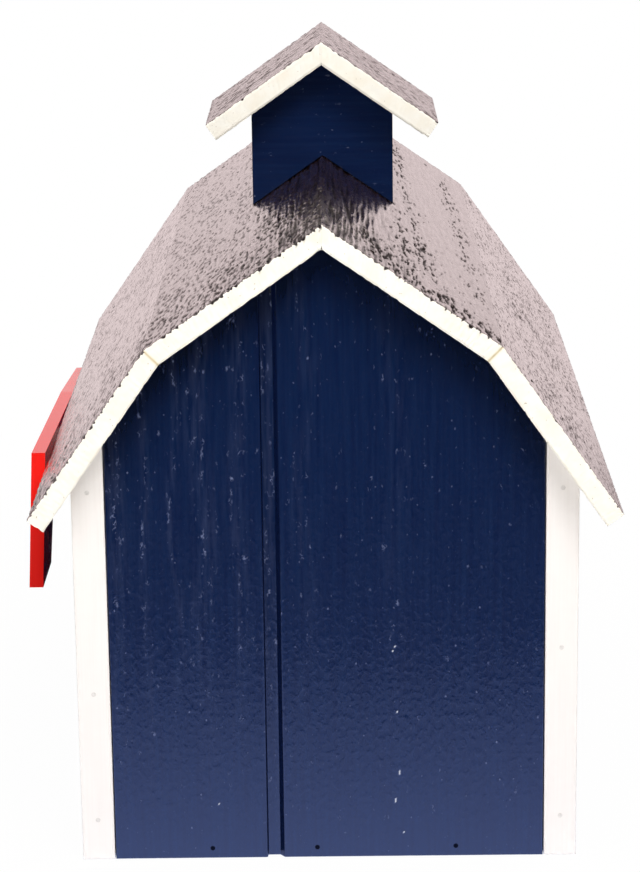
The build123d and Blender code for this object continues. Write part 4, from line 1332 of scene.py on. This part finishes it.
# %% Straight strips of the front
def front_strip(node, level):
    """Square strip that faces the front, from its packed box. The grain of a level one runs across."""
    low, high = size_of(node)
    strip = plank(f"{node}_board", (0, high[1], 0), upright(FRONT), (low[0], high[0]),
                  level_ends(low[2], high[2]), high[1] - low[1],
                  step=COARSE_STEP[::-1] if level else COARSE_STEP, cross_grain=level)
    painted_strip(strip, node, seed=7 * high[2])


for node in ("front_header", "front_sill", "door_top_rail", "door_bottom_rail"):
    front_strip(node, level=True)
for node in ("door_left_stile", "door_right_stile"):
    front_strip(node, level=False)

# %% [markdown]
# The cross on the door is one long brace and two halves of the other diagonal. Each end is cut to the
# corner of the frame, or to the edge of the long brace where they meet.

# %% Door braces
stile_low, stile_high = size_of("door_right_stile")
rail_low, rail_high = size_of("door_top_rail")
brace_half = stile_low[0]
brace_rise = (stile_high[2] - stile_low[2]) / 2
brace_middle = (0, rail_high[1], (stile_high[2] + stile_low[2]) / 2)
brace_angle = atan2(brace_rise, brace_half)
half_width = (rail_high[2] - rail_low[2]) / 2
batten_thickness = rail_high[1] - rail_low[1]


def to_corner(across, lean):
    """Where a row of a brace runs into the frame."""
    wall = (brace_half + lean * across * sin(brace_angle)) / cos(brace_angle)
    return np.minimum(wall, (brace_rise - lean * across * cos(brace_angle)) / sin(brace_angle))


def to_crossing(across):
    """Where a row of the cut brace starts, at the edge of the long one."""
    return (half_width + across * cos(2 * brace_angle)) / sin(2 * brace_angle)


def brace(node, lean, ends):
    """Slanting batten of the door."""
    over = (-lean * sin(brace_angle), 0, cos(brace_angle))
    along = (cos(brace_angle), 0, lean * sin(brace_angle))
    strip = plank(f"{node}_board", brace_middle, (over, along, (0, 1, 0)), (-half_width, half_width), ends,
                  batten_thickness, kinks=(0.0,), step=COARSE_STEP)
    painted_strip(strip, node, seed=100 * len(node))


brace("door_long_brace", 1, lambda a: (-to_corner(-a, 1), to_corner(a, 1)))
brace("door_lower_brace", -1, lambda a: (to_crossing(a), to_corner(a, -1)))
brace("door_upper_brace", -1, lambda a: (-to_corner(-a, -1), -to_crossing(-a)))

# %% [markdown]
# ## Flag
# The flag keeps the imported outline. A copy of its mesh is welded, its flat faces are joined again and a
# small bevel softens the sawn edge, as sanding and paint do.

# %% Flag
FLAG_BEVEL = 0.8
WELD_DISTANCE = 0.01
FLAT_ANGLE = 1
SHARP_ANGLE = 30


def eased_copy(node, name, width):
    """Welded copy of a CAD node with softened edges."""
    work = bmesh.new()
    work.from_mesh(nodes[node].data)
    bmesh.ops.remove_doubles(work, verts=work.verts, dist=WELD_DISTANCE * MM)
    flat = radians(FLAT_ANGLE)
    bmesh.ops.dissolve_limit(work, angle_limit=flat, verts=work.verts, edges=work.edges)
    mesh = bpy.data.meshes.new(name)
    work.to_mesh(mesh)
    work.free()
    piece = bpy.data.objects.new(name, mesh)
    scene.collection.objects.link(piece)
    bevel = piece.modifiers.new("eased", "BEVEL")
    bevel.width = width * MM
    bevel.segments = 3
    bevel.limit_method = "ANGLE"
    bevel.angle_limit = radians(SHARP_ANGLE)
    graph = bpy.context.evaluated_depsgraph_get()
    piece.data = bpy.data.meshes.new_from_object(piece.evaluated_get(graph), depsgraph=graph)
    piece.modifiers.clear()
    return piece


flag = eased_copy("signal_flag", "signal_flag_board", FLAG_BEVEL)
flag.data.materials.clear()
flag.data.materials.append(red)
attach(flag, "flag")
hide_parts("signal_flag")
print(flag.name, len(flag.data.polygons), "faces")

# %% [markdown]
# ## Hardware
# Nails, screws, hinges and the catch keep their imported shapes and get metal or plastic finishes. The
# nails are bright wire that has dulled, the hinges are brass-plated steel. Tarnish comes in small clouds,
# which change the tone and the gloss together. One function makes such a finish.

# %% Metals
def clouded_finish(name, light, dark, rough, grit, spread=(0.0, 1.0), detail=2.0, **surface):
    """Finish with clouds of a size in millimetres between two tones and two degrees of roughness."""
    finish, tree = new_finish(name)
    place = add_node(tree, "ShaderNodeTexCoord").outputs["Object"]
    cloud = add_node(tree, "ShaderNodeTexNoise", {
        "Vector": place, "Scale": 1 / (grit * MM), "Detail": detail,
    })
    share = add_node(tree, "ShaderNodeMapRange", {
        "Value": cloud, "From Min": spread[0], "From Max": spread[1],
    })
    tint = add_node(tree, "ShaderNodeMix", {
        MIX: share, UNDER: colour(light), OVER: colour(dark),
    }, data_type="RGBA")
    gloss = add_node(tree, "ShaderNodeMapRange", {
        "Value": cloud, **MOST_NOISE, "To Min": rough[0], "To Max": rough[1],
    })
    inputs = {title.replace("_", " "): value for title, value in surface.items()}
    coat = add_node(tree, "ShaderNodeBsdfPrincipled", {"Base Color": tint, "Roughness": gloss, **inputs})
    add_node(tree, "ShaderNodeOutputMaterial", {0: coat})
    print(name)
    return finish


METAL = dict(grit=1.5, spread=(0.35, 0.65), detail=3.0, Metallic=1.0)
zinc = clouded_finish("zinc_plated_steel_drawn", "#b9bcbf", "#8f9295", rough=(0.24, 0.42), **METAL)
nail_steel = clouded_finish("bright_steel_wire_dulled", "#8a8783", "#5f5a55", rough=(0.34, 0.52), **METAL)
brass = clouded_finish("brass_plated_steel_stamped", "#c9a765", "#9b7b42", rough=(0.22, 0.4), **METAL)

# %% [markdown]
# Nails that show on painted wood got a brush of paint with it. Those in the white strips are thinly covered
# and look a little grey, and those at the panel's foot are set below the surface and filled with navy,
# which hardly shines down there; their near-black colour is a painted shade of the hole. The catch is
# moulded in brown plastic and the knob is painted white.

# %% Painted nails, plastic and knob
NAIL_GRIT = 1.2
white_nail = clouded_finish(
    "white_paint_thin_on_nail_head", "#fbf8f4", "#c6c3bd", rough=(0.45, 0.55), grit=NAIL_GRIT, IOR=1.5)
# Nail holes at the panel's foot: navy darkened to near black, a painted shade of the hole.
set_nail = clouded_finish(
    "navy_enamel_and_painted_shade_in_nail_hole", "#0a1024", "#04060f", rough=(0.65, 0.75), grit=NAIL_GRIT, IOR=1.5,
    Specular_IOR_Level=0.05)
roof_nail = clouded_finish(
    "brown_enamel_over_nail_head", "#3b2d2b", "#241a19", rough=(0.25, 0.35), grit=NAIL_GRIT, IOR=1.5)
plastic = clouded_finish(
    "brown_ABS_moulded", "#5a4130", "#4b3526", rough=(0.4, 0.5), grit=0.8, IOR=1.5)
knob_paint = clouded_finish(
    "white_exterior_paint_on_turned_knob", "#fbf8f4", "#f3efea", rough=(0.3, 0.4), grit=6.0, IOR=1.5)

# %% [markdown]
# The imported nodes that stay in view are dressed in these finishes. Their shapes are left as they are.

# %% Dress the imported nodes
kept_nodes = {
    set_nail: ("floor_edge_nails",),
    white_nail: ("corner_strip_nails", "door_nails"),
    nail_steel: ("wall_nails", "panel_edge_nails", "stop_nails"),
    roof_nail: ("roof_nails", "cupola_nails"),
    zinc: (
        "cupola_screws", "hinge_sill_screws", "hinge_door_screws", "catch_screws", "strike_screw",
        "strike_plate", "knob_screw", "flag_spacer_screws", "flag_bolt", "flag_lock_nut", "flag_washers",
    ),
    brass: (
        "left_hinge_sill_leaf", "right_hinge_sill_leaf", "left_hinge_door_leaf", "right_hinge_door_leaf",
        "hinge_pins",
    ),
    plastic: ("magnetic_catch",),
    knob_paint: ("door_knob",),
    pine_floor: ("floor_board", "door_stop"),
}
for finish, names in kept_nodes.items():
    for name in names:
        slots = nodes[name].data.materials
        for index in range(len(slots)):
            slots[index] = finish
        if not len(slots):
            slots.append(finish)
print(sum(len(names) for names in kept_nodes.values()), "packed nodes dressed")
